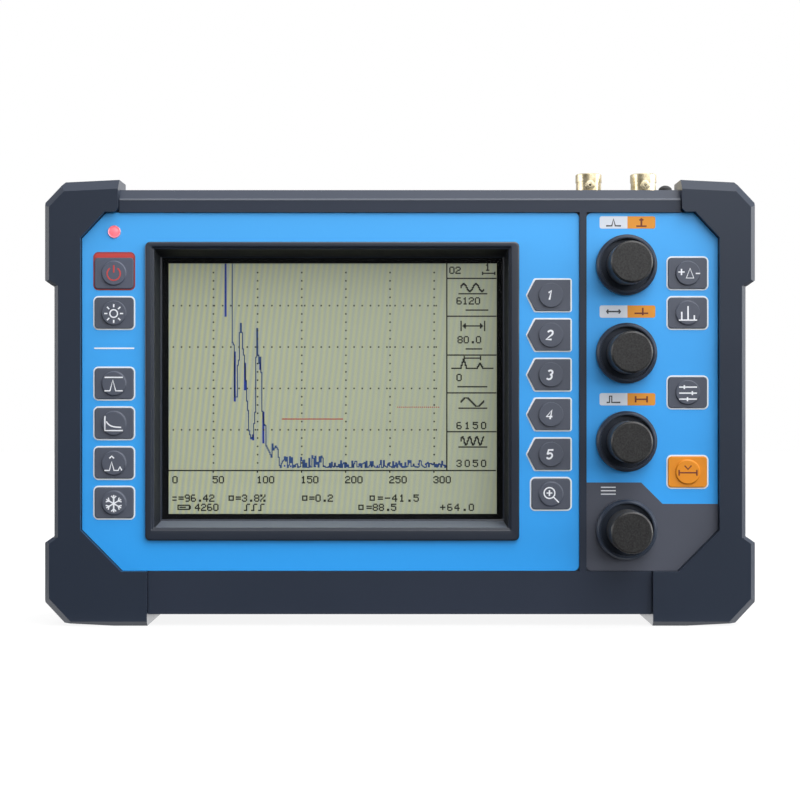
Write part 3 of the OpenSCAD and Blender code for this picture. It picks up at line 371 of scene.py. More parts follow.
slotLook = {
    "case_plastic": caseLook, "guard_plastic": guardLook, "panel_sheet": sheetLook,
    "bezel_plastic": bezelLook, "window_glass": windowLook, "seal_rubber": sealLook,
    "display_glass": displayLook, "zinc_steel": zincLook, "led_lens": lensLook,
    "black_plastic": collarLook, "knob_plastic": knobLook, "white_plastic": ptfeLook,
    "circuit_board": boardLook, "key_plastic": keyLook, "orange_key_plastic": gateKeyLook,
    "battery_sleeve": sleeveLook, "nickel_brass": nickelLook, "gold_brass": goldLook,
    "plug_rubber": rubberLook,
}
ownLook = {"tilt_stand": standLook, "power_key": powerKeyLook}  # where a piece differs from its slot
for nodeName, part in nodes.items():
    part.data.materials.clear()
    part.data.materials.append(slotLook[slotOf[nodeName]])

# Housings: the CAD shapes with their moulded edges rounded, each by its own width in millimetres
housing = {
    "front_left_guard": 0.45, "front_right_guard": 0.45, "rear_left_guard": 0.45,
    "rear_right_guard": 0.45, "knob_collars": 0.15, "jack_shells": 0.2, "battery_door": 0.25,
    "socket_plug": 0.15, "charge_socket": 0.1, "jack_nuts": 0.1, "case_screws": 0.15,
    "guard_screws": 0.15, "door_screws": 0.15, "power_led": 0.05, "tilt_stand": 0.35,
    "front_shell": 0.25, "rear_shell": 0.25,
}
rounding = {"merge": 0.001 * mm, "flat": 0.5, "flatWeight": 100, "inkAngle": 60,
            "gasketBack": 0.03 * mm}


def roundedCopy(nodeName, edge, steps=2):
    piece = nodes[nodeName].copy()
    piece.data = nodes[nodeName].data.copy()
    for key in list(piece.keys()):
        del piece[key]
    piece.parent = None
    piece.matrix_world = Matrix.Identity(4)
    bpy.context.scene.collection.objects.link(piece)
    pickOnly(piece)
    bpy.ops.object.mode_set(mode="EDIT")
    bpy.ops.mesh.select_all(action="SELECT")
    bpy.ops.mesh.remove_doubles(threshold=rounding["merge"])
    bpy.ops.mesh.dissolve_limited(angle_limit=math.radians(rounding["flat"]))
    bpy.ops.object.mode_set(mode="OBJECT")
    if edge:
        bevelled(piece, edge * mm, steps)
        # the rounded edges leave the large faces' shading flat
        level = piece.modifiers.new("level", "WEIGHTED_NORMAL")
        level.weight = rounding["flatWeight"]
        level.keep_sharp = True
        applyModifiers(piece)
    name = "powerLens" if nodeName == "power_led" else camelName(nodeName)
    return dress(piece, name, bodyOf[nodeName], ownLook.get(nodeName, slotLook[slotOf[nodeName]]),
                 [nodeName])


for nodeName, edge in housing.items():
    roundedCopy(nodeName, edge)
# the gasket sits a hair behind the window, so that the two faces don't share one plane
gasket = roundedCopy("window_gasket", 0)
for point in gasket.data.vertices:
    point.co.y += rounding["gasketBack"]
print("housings rounded")

# Bezel: a stepped frame, ring by ring from the back of its rim, over it and down to the window's seat
bezel = {"x": -24.0, "z": 82.9, "mouthX": 62.7, "mouthZ": 49.45, "footX": 60.5, "footZ": 46.4,
         "left": 2.4, "right": 3.0, "low": 3.75, "high": 1.8, "wallRing": 14, "sillFace": 6,
         "smooth": 28}
# how far each ring lies outside the mouth (or the foot), its depth behind the sheets' face, its corner
bezelRings = [("mouth", 1.2, 0.0, 0.3), ("rim", 0.0, 0.0, 1.75), ("rim", 0.0, -0.95, 1.75),
              ("rim", -0.12, -1.3, 1.65), ("rim", -0.4, -1.48, 1.4), ("rim", -0.5, -1.5, 1.35),
              ("rim", -0.62, -1.5, 1.3), ("mouth", 0.36, -1.5, 0.6), ("mouth", 0.26, -1.49, 0.6),
              ("mouth", 0.06, -1.38, 0.5), ("mouth", 0.0, -1.25, 0.4), ("mouth", 0.0, -0.8, 0.4),
              ("mouth", -0.6, -0.75, 0.3), ("mouth", -0.72, -0.68, 0.3), ("mouth", -0.78, -0.5, 0.3),
              ("foot", 0.55, 8.95, 0.3), ("foot", 0.45, 9.15, 0.3),
              ("foot", 0.0, 9.2, 0.3), ("foot", 0.0, 9.5, 0.3), ("foot", 1.6, 9.5, 0.3),
              ("foot", 1.6, 11.4, 0.3), ("mouth", 1.2, 11.4, 0.3)]


def ringPoints(kind, grow, depth, corner):
    opening = "foot" if kind == "foot" else "mouth"
    halfX, halfZ = bezel[opening + "X"], bezel[opening + "Z"]
    left, right, low, high = [bezel[side] if kind == "rim" else 0
                              for side in ("left", "right", "low", "high")]
    x0, x1 = bezel["x"] - halfX - left - grow, bezel["x"] + halfX + right + grow
    z0, z1 = bezel["z"] - halfZ - low - grow, bezel["z"] + halfZ + high + grow
    points = []
    for x, z, start in ((x0 + corner, z0 + corner, 180), (x1 - corner, z0 + corner, 270),
                        (x1 - corner, z1 - corner, 0), (x0 + corner, z1 - corner, 90)):
        points += arc((x, z), corner, start, start + 90, 6)
    return [Vector((x * mm, panelY + depth * mm, z * mm)) for x, z in points]


def bezelPiece(name, part, look, replaced=()):
    # the ring's faces that belong to one part: frame, walls of the well, or the sill below the display
    shape = bmesh.new()
    rings = [[shape.verts.new(point) for point in ringPoints(*ring)] for ring in bezelRings]
    for index, ring in enumerate(rings):
        following = rings[(index + 1) % len(rings)]
        for corner in range(len(ring)):
            belongs = "frame"
            if index == bezel["wallRing"]:
                belongs = "sill" if corner == bezel["sillFace"] else "well"
            if belongs == part:
                other = (corner + 1) % len(ring)
                shape.faces.new((ring[corner], following[corner], following[other], ring[other]))
    loose = [point for point in shape.verts if not point.link_faces]
    bmesh.ops.delete(shape, geom=loose, context="VERTS")
    piece = shapePiece(name, shape)
    smoothed(piece, bezel["smooth"])
    return dress(piece, name, "case", look, replaced)


bezelPiece("screenBezel", "frame", bezelLook, ["screen_bezel"])
# the well's walls take a darker, duller copy of the bezel plastic: painted shade
bezelPiece("screenWell", "well", paintedShadeWellLook)
# the sill takes a paler copy of the bezel plastic: painted light from above
bezelPiece("screenSill", "sill", paintedLightSillLook)
print("bezel made")


# Sheets: printed film, its corners beside the divider rounded
sheetCorner = {"radius": 1.9 * mm, "steps": 6, "near": 0.01 * mm}


def roundedSheet(nodeName, edgeX):
    piece = roundedCopy(nodeName, 0)
    low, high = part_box(nodeName)
    pickOnly(piece)
    bpy.ops.object.mode_set(mode="EDIT")
    bpy.ops.mesh.select_mode(type="EDGE")
    bpy.ops.mesh.select_all(action="DESELECT")
    bpy.ops.object.mode_set(mode="OBJECT")
    for edge in piece.data.edges:
        ends = [piece.data.vertices[index].co for index in edge.vertices]
        upright = (ends[0] - ends[1]).normalized()
        middle = (ends[0] + ends[1]) / 2
        edge.select = (abs(upright.y) > 0.99 and abs(middle.x - edgeX) < sheetCorner["near"]
                       and min(abs(middle.z - low.z), abs(middle.z - high.z)) < sheetCorner["near"])
    bpy.ops.object.mode_set(mode="EDIT")
    bpy.ops.mesh.bevel(offset=sheetCorner["radius"], segments=sheetCorner["steps"], affect="EDGES")
    bpy.ops.object.mode_set(mode="OBJECT")
    smoothed(piece)


roundedSheet("left_panel_sheet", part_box("left_panel_sheet")[1].x)
roundedSheet("right_panel_sheet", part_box("right_panel_sheet")[0].x)
print("sheets cut")


def drawnPiece(name, settings, lines):
    # a curve of straight runs, each with its points and whether it closes, made a mesh
    curve = bpy.data.curves.new(name, "CURVE")
    for key, value in settings.items():
        setattr(curve, key, value)
    for points, closed in lines:
        spline = curve.splines.new("POLY")
        spline.points.add(len(points) - 1)
        for point, place in zip(spline.points, points):
            point.co = (*place, 1)
        spline.use_cyclic_u = closed
    pickOnly(placed(name, curve))
    bpy.ops.object.convert(target="MESH")
    return bpy.context.active_object


# Flat prints: outlines in millimetres, x to the right and z up, filled and given a thickness
def flatShape(name, outlines, front, thickness, look):
    piece = drawnPiece(name, {"dimensions": "2D", "fill_mode": "BOTH", "extrude": thickness / 2},
                       [([(x * mm, z * mm, 0) for x, z in outline], True) for outline in outlines])
    piece.rotation_euler = (math.pi / 2, 0, 0)
    piece.location = (0, front + thickness / 2, 0)
    settle(piece)
    bpy.ops.object.mode_set(mode="EDIT")
    bpy.ops.mesh.select_all(action="SELECT")
    bpy.ops.mesh.remove_doubles(threshold=rounding["merge"])
    bpy.ops.mesh.normals_make_consistent(inside=False)
    bpy.ops.object.mode_set(mode="OBJECT")
    return dress(piece, name, "case", look)


# Drawn lines: open or closed runs of points about a middle, as a raised line of ink
def inkLines(name, runs, width, front, rise, look, middle=(0, 0), body="case"):
    lines = []
    for run in runs:
        closed = len(run) > 2 and run[0] == run[-1]
        points = run[:-1] if closed else run
        lines.append(([((middle[0] + x) * mm, 0, (middle[1] + z) * mm) for x, z in points], closed))
    piece = drawnPiece(name, {"dimensions": "3D", "bevel_depth": width / 2 * mm, "bevel_resolution": 1,
                              "use_fill_caps": True}, lines)
    piece.scale = (1, rise / (width / 2 * mm), 1)
    piece.location = (0, front, 0)
    settle(piece)
    smoothed(piece, rounding["inkAngle"])
    return dress(piece, name, body, look)


def roundedOutline(corners, radius, steps=5):
    # each corner of a polygon is replaced by an arc that touches both of its sides
    outline = []
    for index, corner in enumerate(corners):
        here = Vector(corner)
        before = (Vector(corners[index - 1]) - here).normalized()
        after = (Vector(corners[(index + 1) % len(corners)]) - here).normalized()
        half = before.angle(after) / 2
        centre = here + (before + after).normalized() * (radius / math.sin(half))
        first = here + before * (radius / math.tan(half)) - centre
        last = here + after * (radius / math.tan(half)) - centre
        for step in range(steps + 1):
            spoke = first.lerp(last, step / steps).normalized() * radius
            outline.append((centre.x + spoke.x, centre.y + spoke.y))
    return outline


def boxOutline(middle, width, height, radius):
    x, z = middle
    return roundedOutline([(x - width / 2, z - height / 2), (x + width / 2, z - height / 2),
                           (x + width / 2, z + height / 2), (x - width / 2, z + height / 2)], radius)


def pentagonOutline(middle, width, height, point, radius):
    x, z = middle
    left, right, shoulder = x - width / 2 - point / 2, x + width / 2, x - width / 2 + point / 2
    return roundedOutline([(left, z), (shoulder, z - height / 2), (right, z - height / 2),
                           (right, z + height / 2), (shoulder, z + height / 2)], radius, 3)


# Keys: silicone caps with a raised round pad, each in a printed outline
keySet = {"width": 13.6, "height": 10.8, "point": 2.9, "line": 0.5, "gap": 0.05, "radius": 1.3,
          "pointedRadii": (0.9, 0.5), "edge": 0.4, "edgeSteps": 4, "rise": 0.07 * mm, "thick": 0.1 * mm,
          "bandHeight": 1.5, "bandHalf": 5.65, "bandRadius": 1.2, "bandLow": 0.07, "bandTop": 0.35,
          "bandRise": 0.09 * mm}
functionKeys = ["f1_key", "f2_key", "f3_key", "f4_key", "f5_key"]
squareKeys = ["power_key", "backlight_key", "auto_height_key", "gain_curve_key", "peak_hold_key",
              "freeze_key", "echo_zoom_key", "gain_step_key", "relative_gain_key", "mode_key",
              "gate_key"]


def keyMiddle(nodeName):
    low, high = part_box(nodeName)
    x = (low.x + high.x) / 2 / mm
    if nodeName in functionKeys:
        x += keySet["point"] / 4
    return x, (low.z + high.z) / 2 / mm


for nodeName in functionKeys + squareKeys:
    roundedCopy(nodeName, keySet["edge"], keySet["edgeSteps"])
    x, z = keyMiddle(nodeName)
    gap, line = keySet["gap"], keySet["line"]
    sides = [(keySet["width"] + 2 * side, keySet["height"] + 2 * side) for side in (gap + line, gap)]
    if nodeName in functionKeys:
        outlines = [pentagonOutline((x, z), *side, keySet["point"], radius)
                    for side, radius in zip(sides, keySet["pointedRadii"])]
    else:
        outlines = [boxOutline((x, z), *side, keySet["radius"] + grow)
                    for side, grow in zip(sides, (line, 0))]
    if nodeName == "power_key":  # its outline is red, with a wide band along the top
        top, half = z + keySet["height"] / 2, keySet["bandHalf"]
        outlines[0] = [(px, pz if pz < z else pz + keySet["bandHeight"]) for px, pz in outlines[0]]
        band = arc((x + half, top + keySet["bandTop"]), keySet["bandRadius"], 0, 90, 5)
        band += arc((x - half, top + keySet["bandTop"]), keySet["bandRadius"], 90, 180, 5)
        half += keySet["bandRadius"]
        band += [(x - half, top + keySet["bandLow"]), (x + half, top + keySet["bandLow"])]
        flatShape("powerKeyBand", [band], panelY - keySet["bandRise"], keySet["thick"], brightRedInk)
    flatShape(camelName(nodeName) + "Outline", outlines, panelY - keySet["rise"], keySet["thick"],
              redInk if nodeName == "power_key" else whiteInk)
print("keys made")

# Knobs: soft black caps with a narrow rounded edge
knob = {"edge": 0.18, "steps": 3}
for nodeName in ("gain_knob", "range_knob", "delay_knob", "menu_knob"):
    roundedCopy(nodeName, knob["edge"], knob["steps"])
print("knobs made")


# Legends on the keys: plain pictures and numbers in raised ink, five millimetres or so across
def turned(points, degrees):
    angle = math.radians(degrees)
    return [(x * math.cos(angle) - z * math.sin(angle), x * math.sin(angle) + z * math.cos(angle))
            for x, z in points]


def rays(inner, outer, count):
    return [turned([(inner, 0), (outer, 0)], 360 * index / count) for index in range(count)]


digitRuns = {
    1: [[(-0.9, 1.3), (0.35, 2.5), (0.35, -2.5)]],
    2: [arc((0, 1.05), 1.45, 160, -35, 9) + [(-1.5, -2.5), (1.6, -2.5)]],
    3: [arc((0, 1.2), 1.3, 150, -80, 8), arc((0, -1.15), 1.4, 85, -150, 9)],
    4: [[(0.7, -2.5), (0.7, 2.5), (-1.6, -1.1), (1.7, -1.1)]],
    5: [[(1.5, 2.5), (-1.15, 2.5), (-1.4, 0.35)] + arc((0, -0.85), 1.55, 135, -150, 10)],
}
curveRun = [(-2.6 + 0.4 * step, 2.1 * math.exp(-0.32 * step) - 1.2) for step in range(14)]
legendRuns = {
    "power_key": [arc((0, 0), 2.3, 125, 415, 22), [(0, 0.4), (0, 3.0)]],
    "backlight_key": [arc((0, 0), 1.35, 0, 360, 16)] + rays(2.2, 3.3, 8),
    "auto_height_key": [[(-3.2, -2.3), (-1.3, -2.3), (-0.3, 1.5), (0.7, -2.3), (3.2, -2.3)],
                        [(-3.2, 2.4), (3.2, 2.4)]],
    "gain_curve_key": [[(-3.1, 2.8), (-3.1, -2.3), (3.2, -2.3)], curveRun],
    "peak_hold_key": [[(-3.2, -2.3), (-1.5, -2.3), (-0.7, 0.7), (0.1, -2.3), (1.6, -2.3), (2.2, -1.0),
                       (2.8, -2.3)], [(-1.5, 1.9), (-0.7, 2.7), (0.1, 1.9)]],
    "freeze_key": [turned([(-3.0, 0), (3.0, 0)], 60 * index + 30) for index in range(3)]
                  + [turned([(2.7, 0.85), (1.75, 0), (2.7, -0.85)], 60 * index + 30)
                     for index in range(6)],
    "echo_zoom_key": [arc((-0.6, 0.6), 1.9, 0, 360, 18), [(0.8, -0.8), (2.7, -2.7)],
                      [(-1.6, 0.6), (0.4, 0.6)], [(-0.6, -0.4), (-0.6, 1.6)]],
    "gain_step_key": [[(-3.4, 0.6), (-1.2, 0.6)], [(-2.3, -0.5), (-2.3, 1.7)],
                      [(-0.6, -1.5), (0.7, 1.9), (2.0, -1.5), (-0.6, -1.5)], [(2.7, 0.1), (4.2, 0.1)]],
    "relative_gain_key": [[(-2.2, -2.3), (-2.2, 0.6)], [(0, -2.3), (0, 2.6)],
                          [(2.2, -2.3), (2.2, -0.6)],
                          [(-3.2, -2.3), (3.2, -2.3)]],
    "mode_key": [[(-3.1, 2.1), (3.1, 2.1)], [(-3.1, 0), (3.1, 0)], [(-3.1, -2.1), (3.1, -2.1)],
                 [(-1.3, 2.8), (-1.3, 1.4)], [(1.5, 0.7), (1.5, -0.7)], [(-0.2, -1.4), (-0.2, -2.8)]],
    "gate_key": [[(-3.1, -1.0), (-3.1, 1.0)], [(-3.1, 0), (3.1, 0)], [(3.1, -1.0), (3.1, 1.0)],
                 [(-1.2, 2.5), (0, 1.2), (1.2, 2.5)]],
}
legend = {"line": 0.52, "bold": 0.74, "digit": 0.62, "lean": 0.22, "left": 0.5, "up": 0.2,
          "rise": 0.06 * mm, "down": -0.25}
legendInks = {"power_key": brightRedInk, "gate_key": brownInk}
for index, nodeName in enumerate(functionKeys):
    legendRuns[nodeName] = [[((x + legend["lean"] * z) * legend["digit"] - legend["left"],
                              z * legend["digit"] + legend["up"]) for x, z in run]
                            for run in digitRuns[index + 1]]
for nodeName, runs in legendRuns.items():
    x, z = keyMiddle(nodeName)
    width = legend["bold" if nodeName in functionKeys else "line"]
    inkLines(camelName(nodeName) + "Legend", runs, width,
             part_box(nodeName)[0].y, legend["rise"], legendInks.get(nodeName, legendInk),
             (x, z + legend["down"]), bodyOf[nodeName])
print("legends made")

# Prints on the sheets: a rule between the key groups, two-colour tags over the knobs, the menu field
prints = {"rise": 0.06 * mm, "thick": 0.12 * mm, "tagWidth": 19.5, "tagHeight": 4.3, "tagRadius": 0.7,
          "tagX": 79.6, "tagZ": (141.0, 109.8, 79.1), "tagLine": 0.62, "markRise": 0.04 * mm,
          "menuRise": 0.03 * mm, "menuThick": 0.1 * mm, "menuCorner": 1.8, "menuCut": 14.2,
          "menuCutHigh": 14.4, "menuStep": ((91.9, 42.5), (84.4, 49.98)), "menuMark": (72.9, 47.1),
          "menuLine": 0.45,
          "rim": (-100.0, 137.75), "rimRadius": 2.06, "rimLine": 0.3, "rimRise": 0.53 * mm}
rule = [(-107.0, 96.7), (-93.0, 96.7), (-93.0, 97.2), (-107.0, 97.2)]
flatShape("keyGroupRule", [rule], panelY - prints["rise"], prints["thick"], whiteInk)


def halfTag(middleZ, side):
    # the rounded half of a tag: the left one is white, the right one orange
    half, radius = prints["tagHeight"] / 2, prints["tagRadius"]
    x = prints["tagWidth"] / 2 - radius
    outline = [(0, -half)] + arc((x, radius - half), radius, -90, 0, 3)
    outline += arc((x, half - radius), radius, 0, 90, 3)
    outline = [(prints["tagX"] + side * x, middleZ + z) for x, z in outline + [(0, half)]]
    return outline if side > 0 else outline[::-1]


tagRuns = [
    ([[(-2.6, -1.2), (-0.6, -1.2), (0, 1.2), (0.6, -1.2), (2.6, -1.2)]],
     [[(0, -1.3), (0, 1.3)], [(-0.7, 0.7), (0, 1.3), (0.7, 0.7)], [(-1.8, -1.3), (1.8, -1.3)]]),
    ([[(-2.4, 0), (2.4, 0)], [(-1.8, 0.7), (-2.4, 0), (-1.8, -0.7)],
      [(1.8, 0.7), (2.4, 0), (1.8, -0.7)]],
     [[(-2.4, -0.6), (2.4, -0.6)], [(0.5, 1.3), (0.5, -1.3)]]),
    ([[(-2.4, -1.1), (-1.4, -1.1), (-1.4, 1.1), (-0.6, 1.1), (-0.6, -1.1), (2.4, -1.1)]],
     [[(-2.0, 1.1), (-2.0, -1.1)], [(-2.0, 0), (2.0, 0)], [(2.0, 1.1), (2.0, -1.1)]]),
]
for index, middleZ in enumerate(prints["tagZ"]):
    whiteRuns, orangeRuns = tagRuns[index]
    for side, sideName, ink, markInk, runs in ((-1, "White", tagWhiteInk, darkInk, whiteRuns),
                                               (1, "Orange", tagOrangeInk, brownInk, orangeRuns)):
        name = "knobTag%d%s" % (index + 1, sideName)
        flatShape(name, [halfTag(middleZ, side)], panelY - prints["rise"], prints["thick"], ink)
        inkLines(name + "Mark", runs, prints["tagLine"], panelY - prints["rise"], prints["markRise"],
                 markInk, (prints["tagX"] + side * prints["tagWidth"] / 4, middleZ))
rightLow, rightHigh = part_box("right_panel_sheet")
left, right, low, corner = rightLow.x / mm, rightHigh.x / mm, rightLow.z / mm, prints["menuCorner"]
field = arc((left + corner, low + corner), corner, 180, 270, 6)
field += [(right - prints["menuCut"], low), (right, low + prints["menuCutHigh"]),
          (right, prints["menuStep"][0][1]), *prints["menuStep"], (left, prints["menuStep"][1][1])]
flatShape("menuField", [field], panelY - prints["menuRise"], prints["menuThick"], menuInk)
inkLines("menuMark", [[(-2.6, z), (2.6, z)] for z in (1.2, 0, -1.2)], prints["menuLine"],
         panelY - prints["menuRise"], prints["markRise"], legendInk, prints["menuMark"])
inkLines("lensRim", [arc((0, 0), prints["rimRadius"], 0, 360, 28)], prints["rimLine"], panelY,
         prints["rimRise"], lensRimInk, prints["rim"])
print("prints made")

# Top rail: a raised pale bead along its crease, a painted highlight
crease = {"half": 98.1, "height": 148.9, "width": 0.7, "sunk": 0.05 * mm, "rise": 0.22 * mm}
inkLines("topRailCrease", [[(-crease["half"], 0), (crease["half"], 0)]], crease["width"],
         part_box("front_shell")[0].y + crease["sunk"], crease["rise"], creaseHighlightLook, (0, crease["height"]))

# Jacks: a round boss and its pin on the front and back of each barrel
jack = {"places": (69.0, 89.0), "y": 12.25, "z": 157.0, "length": 0.9, "edge": 0.2 * mm,
        "studs": (("Boss", 1.75, 4.98), ("Pin", 0.75, 5.5))}  # name, radius, reach from the axis
for index, x in enumerate(jack["places"]):
    for side, sideName in ((-1, "Front"), (1, "Back")):
        for part, radius, reach in jack["studs"]:
            bpy.ops.object.select_all(action="DESELECT")
            y = jack["y"] + side * (reach - jack["length"] / 2)
            bpy.ops.mesh.primitive_cylinder_add(
                vertices=32, radius=radius * mm, depth=jack["length"] * mm,
                rotation=(math.pi / 2, 0, 0), location=(x * mm, y * mm, jack["z"] * mm))
            stud = bpy.context.active_object
            settle(stud)
            bevelled(stud, jack["edge"], 3)
            dress(stud, "jack%d%s%s" % (index + 1, sideName, part), "case", nickelLook)
print("jacks made")


# Display: what it shows is drawn in its own dots, 320 across, counted from its top left corner
dots = {"pitch": 0.3645, "left": -81.9, "top": 127.5, "bold": 1.3, "rise": 0.03 * mm, "step": 6,
        "columns": [41.4 + 43.2 * index for index in range(6)], "rows": (40.4, 80.9, 121.4, 161.9),
        "gridSize": 1.5, "gridLeft": 2.1, "gridStepX": 8.04, "gridStepZ": 8.1,
        "cells": (14, 51, 89, 126, 164), "side": 270, "base": 202, "scaleTop": 208}
digitDots = {
    "0": "01110 10001 10001 10001 10001 10001 01110", "1": "00100 01100 00100 00100 00100 00100 01110",
    "2": "01110 10001 00001 00110 01000 10000 11111", "3": "01110 10001 00001 00110 00001 10001 01110",
    "4": "00010 00110 01010 10010 11111 00010 00010", "5": "11111 10000 11110 00001 00001 10001 01110",
    "6": "01110 10000 10000 11110 10001 10001 01110", "7": "11111 00001 00010 00010 00100 00100 00100",
    "8": "01110 10001 10001 01110 10001 10001 01110", "9": "01110 10001 10001 01111 00001 00001 01110",
    ".": "00000 00000 00000 00000 00000 00110 00110", "-": "00000 00000 00000 11111 00000 00000 00000",
    "+": "00000 00100 00100 11111 00100 00100 00000", "=": "00000 00000 11111 00000 11111 00000 00000",
    "%": "11001 11001 00010 00100 01000 10011 10011", " ": "0",
}


def numberBars(text, left, top, step=dots["step"]):
    # bars of dots, as left, top, width and height, for a line of digits
    bars = []
    for index, letter in enumerate(text):
        for row, line in enumerate(digitDots[letter].split()):
            for run in re.finditer("1+", line):
                bars.append((left + index * step + run.start(), top + row, len(run.group()), 1))
    return bars


def boxBars(left, top, width, height):
    return [(left, top, width, 1), (left, top + height - 1, width, 1),
            (left, top + 1, 1, height - 2), (left + width - 1, top + 1, 1, height - 2)]


def traceBars(points, until):
    # a line over the dots: one upright bar in each column, from one height to the next
    bars = []
    for (x, y), (nextX, nextY) in zip(points, points[1:]):
        steps = max(1, round(nextX - x))
        for step in range(steps):
            here = y + (nextY - y) * step / steps
            there = y + (nextY - y) * (step + 1) / steps
            if x + step < until:
                bars.append((x + step, min(here, there), 1, abs(there - here) + 1))
    return bars


def dotPiece(name, bars, look, fill=1.0):
    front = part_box("lcd_panel")[0].y
    sheet = bmesh.new()
    gap = (1 - fill) / 2
    for left, top, width, height in bars:
        x0, x1 = left + gap, left + width - gap
        z0, z1 = top + height - gap, top + gap
        corners = [sheet.verts.new(((dots["left"] + x * dots["pitch"]) * mm, front,
                                    (dots["top"] - z * dots["pitch"]) * mm))
                   for x, z in ((x0, z0), (x1, z0), (x1, z1), (x0, z1))]
        sheet.faces.new(corners)
    piece = shapePiece(name, sheet)
    raised = piece.modifiers.new("raised", "SOLIDIFY")
    raised.thickness = dots["rise"]
    raised.offset = 1
    applyModifiers(piece)
    return dress(piece, name, "case", look)


lineBars = [(-1.6, dots["base"], 320, 1), (dots["side"], 0, 1, dots["base"])]
lineBars += [(dots["side"] + 1, row, 48, 1) for row in dots["cells"]]
lineBars += [(column, dots["base"] + 1, 1, 1.5) for column in dots["columns"]]
lineBars += numberBars("02", 273, 3) + numberBars("1", 308, 0)
lineBars += [(305, 9, 13, 1), (305, 8, 1, 3), (317, 8, 1, 3)]
dotPiece("displayRules", lineBars, dotInk, dots["bold"])

gridPlaces = [(column, dots["rows"][-1] - dots["gridStepZ"] * step)
              for column in dots["columns"] for step in range(-4, 20)]
gridPlaces += [(dots["gridLeft"] + dots["gridStepX"] * step, row)
               for row in dots["rows"] for step in range(33)]
gridBars = [(*place, dots["gridSize"], dots["gridSize"]) for place in gridPlaces]
dotPiece("displayGrid", gridBars, gridInk)

scaleBars = numberBars("0", 2, dots["scaleTop"])
for index, column in enumerate(dots["columns"]):
    scaleBars += numberBars(str(50 * (index + 1)), column, dots["scaleTop"])
dotPiece("displayScale", scaleBars, dotInk, dots["bold"])

# readings down the side, each under a small picture: wave, span, calliper, long wave, short wave
sideBars = []
for top, halfWave in ((18, 6), (130, 11), (168, 3.5)):
    sideBars += traceBars([(284 + x, top + round(5 - 4 * math.sin(x * math.pi / halfWave)))
                           for x in range(24)], 320) + [(282, top + 11, 28, 1)]
sideBars += [(284, 56, 1, 10), (307, 56, 1, 10), (286, 60.5, 20, 1), (287, 59.5, 1, 3),
             (288, 58.5, 1, 5), (304, 59.5, 1, 3), (303, 58.5, 1, 5)]
sideBars += traceBars([(275, 102), (284, 102), (287, 93), (290, 102), (300, 102), (303, 97),
                       (306, 102), (316, 102)], 320)
sideBars += [(287, 92, 17, 1), (287, 90.5, 1, 4), (303, 90.5, 1, 4)]
for text, left, top, step in (("6120", 280, 33, 6), ("80.0", 281, 71, 6), ("0", 280, 108, 6),
                              ("6150", 280, 155, 8), ("3050", 280, 192, 8)):
    sideBars += numberBars(text, left, top, step)
sideBars += [(289, 45, 22, 1), (289, 83, 16, 1), (281, 120, 29, 1)]
dotPiece("displayReadings", sideBars, dotInk, dots["bold"])

# two lines of readings at the foot, with a battery at their left
statusBars = boxBars(7, 236, 12, 5) + [(19, 237, 1, 3), (9, 238, 6, 1)]
for text, left, top, step in (("=96.42", 8, 226, 6), ("=3.8%", 64, 226, 6), ("=0.2", 136, 226, 6),
                              ("=-41.5", 203, 226, 7), ("4260", 24, 235, 6), ("=88.5", 192, 235, 6),
                              ("+64.0", 264, 235, 7)):
    statusBars += numberBars(text, left, top, step)
for left, top in ((57, 227), (129, 227), (195, 227), (184, 236)):
    statusBars += boxBars(left, top, 5, 5)
statusBars += [(2, 228, 4, 1), (2, 231, 4, 1)]
for left in (72, 79, 86):
    statusBars += [(left, 241, 3, 1), (left + 2, 236, 1, 5), (left + 3, 235, 3, 1)]
dotPiece("displayStatus", statusBars, dotInk, dots["bold"])

# the echo: a few tall peaks, then low noise, in thin lines with heavy strokes where it lingers
echo = [(60, 0), (60, 75), (62, 79), (63, 130), (65, 130), (66, 99), (67, 94), (68, 67), (69, 58),
        (70, 67), (71, 83), (72, 89), (74, 114), (75, 134), (76, 143), (77, 163), (79, 171),
        (81, 168), (82, 156), (83, 145), (84, 91), (85, 63), (86, 89), (87, 97), (88, 91),
        (89, 106), (90, 144), (92, 157), (93, 158), (94, 178), (97, 184), (99, 189), (100, 176),
        (101, 182), (103, 178), (105, 181), (107, 197), (108, 199)]
noise = random.Random(5)
for x in range(109, 271):
    reach, fall = (12, 2.2) if x < 160 else (7, 2.4)  # the noise is higher near the echoes
    echo.append((x, 199 - reach * noise.random() ** fall))
dotPiece("echoTrace", traceBars(echo, dots["side"]), thinTraceInk)
strokes = [(53, 0, 2, 52), (62, 86, 2, 49), (72, 97, 2, 27), (80, 167, 2, 6), (87, 97, 2, 7),
           (90, 145, 2, 31)]
for x in range(110, 268, 6):
    strokes.append((x + round(3 * noise.random()), 195 + 3 * noise.random(), 1.5, 1.8))
dotPiece("echoStrokes", strokes, traceInk)
gateBars = [(109, 151.6, 60, 1)] + [(222 + 2 * step, 140, 1, 1) for step in range(21)]
dotPiece("gateLines", gateBars, gateInk)
print("display drawn")


# Studio: white surround, bright from above and from the upper front on the right, and a pale floor
studio = {"floor": 4.0, "floorGlow": 0.88, "keyPower": 0.5, "keySize": 0.3,
          "keyPlace": (0.15, -0.27, 0.37), "sidePower": 0.05, "sideSize": 0.6,
          "sidePlace": (-0.75, -0.45, 0.25),
          "heights": ((0.0, 0.02), (0.12, 1.1), (0.22, 3.1), (0.36, 0.8), (0.62, 1.2), (0.9, 3.9)),
          "brightest": 5, "left": 0.2, "right": 1.7, "turn": 0.35, "back": 0.8,
          "leftStrip": 5.0, "rightStrip": 8.0, "stripEdge": (0.85, 0.95), "footGlow": 2.4,
          "footFrom": (-0.03, -0.018), "footUntil": (0.01, 0.03), "mirrorFrom": (0.12, 0.5),
          "whiteBehind": (-0.1, 0.25), "whiteAbove": (-0.02, 0.3), "whiteLow": 0.3}
bpy.ops.object.select_all(action="DESELECT")
bpy.ops.mesh.primitive_plane_add(size=studio["floor"], location=(0, 0, 0))
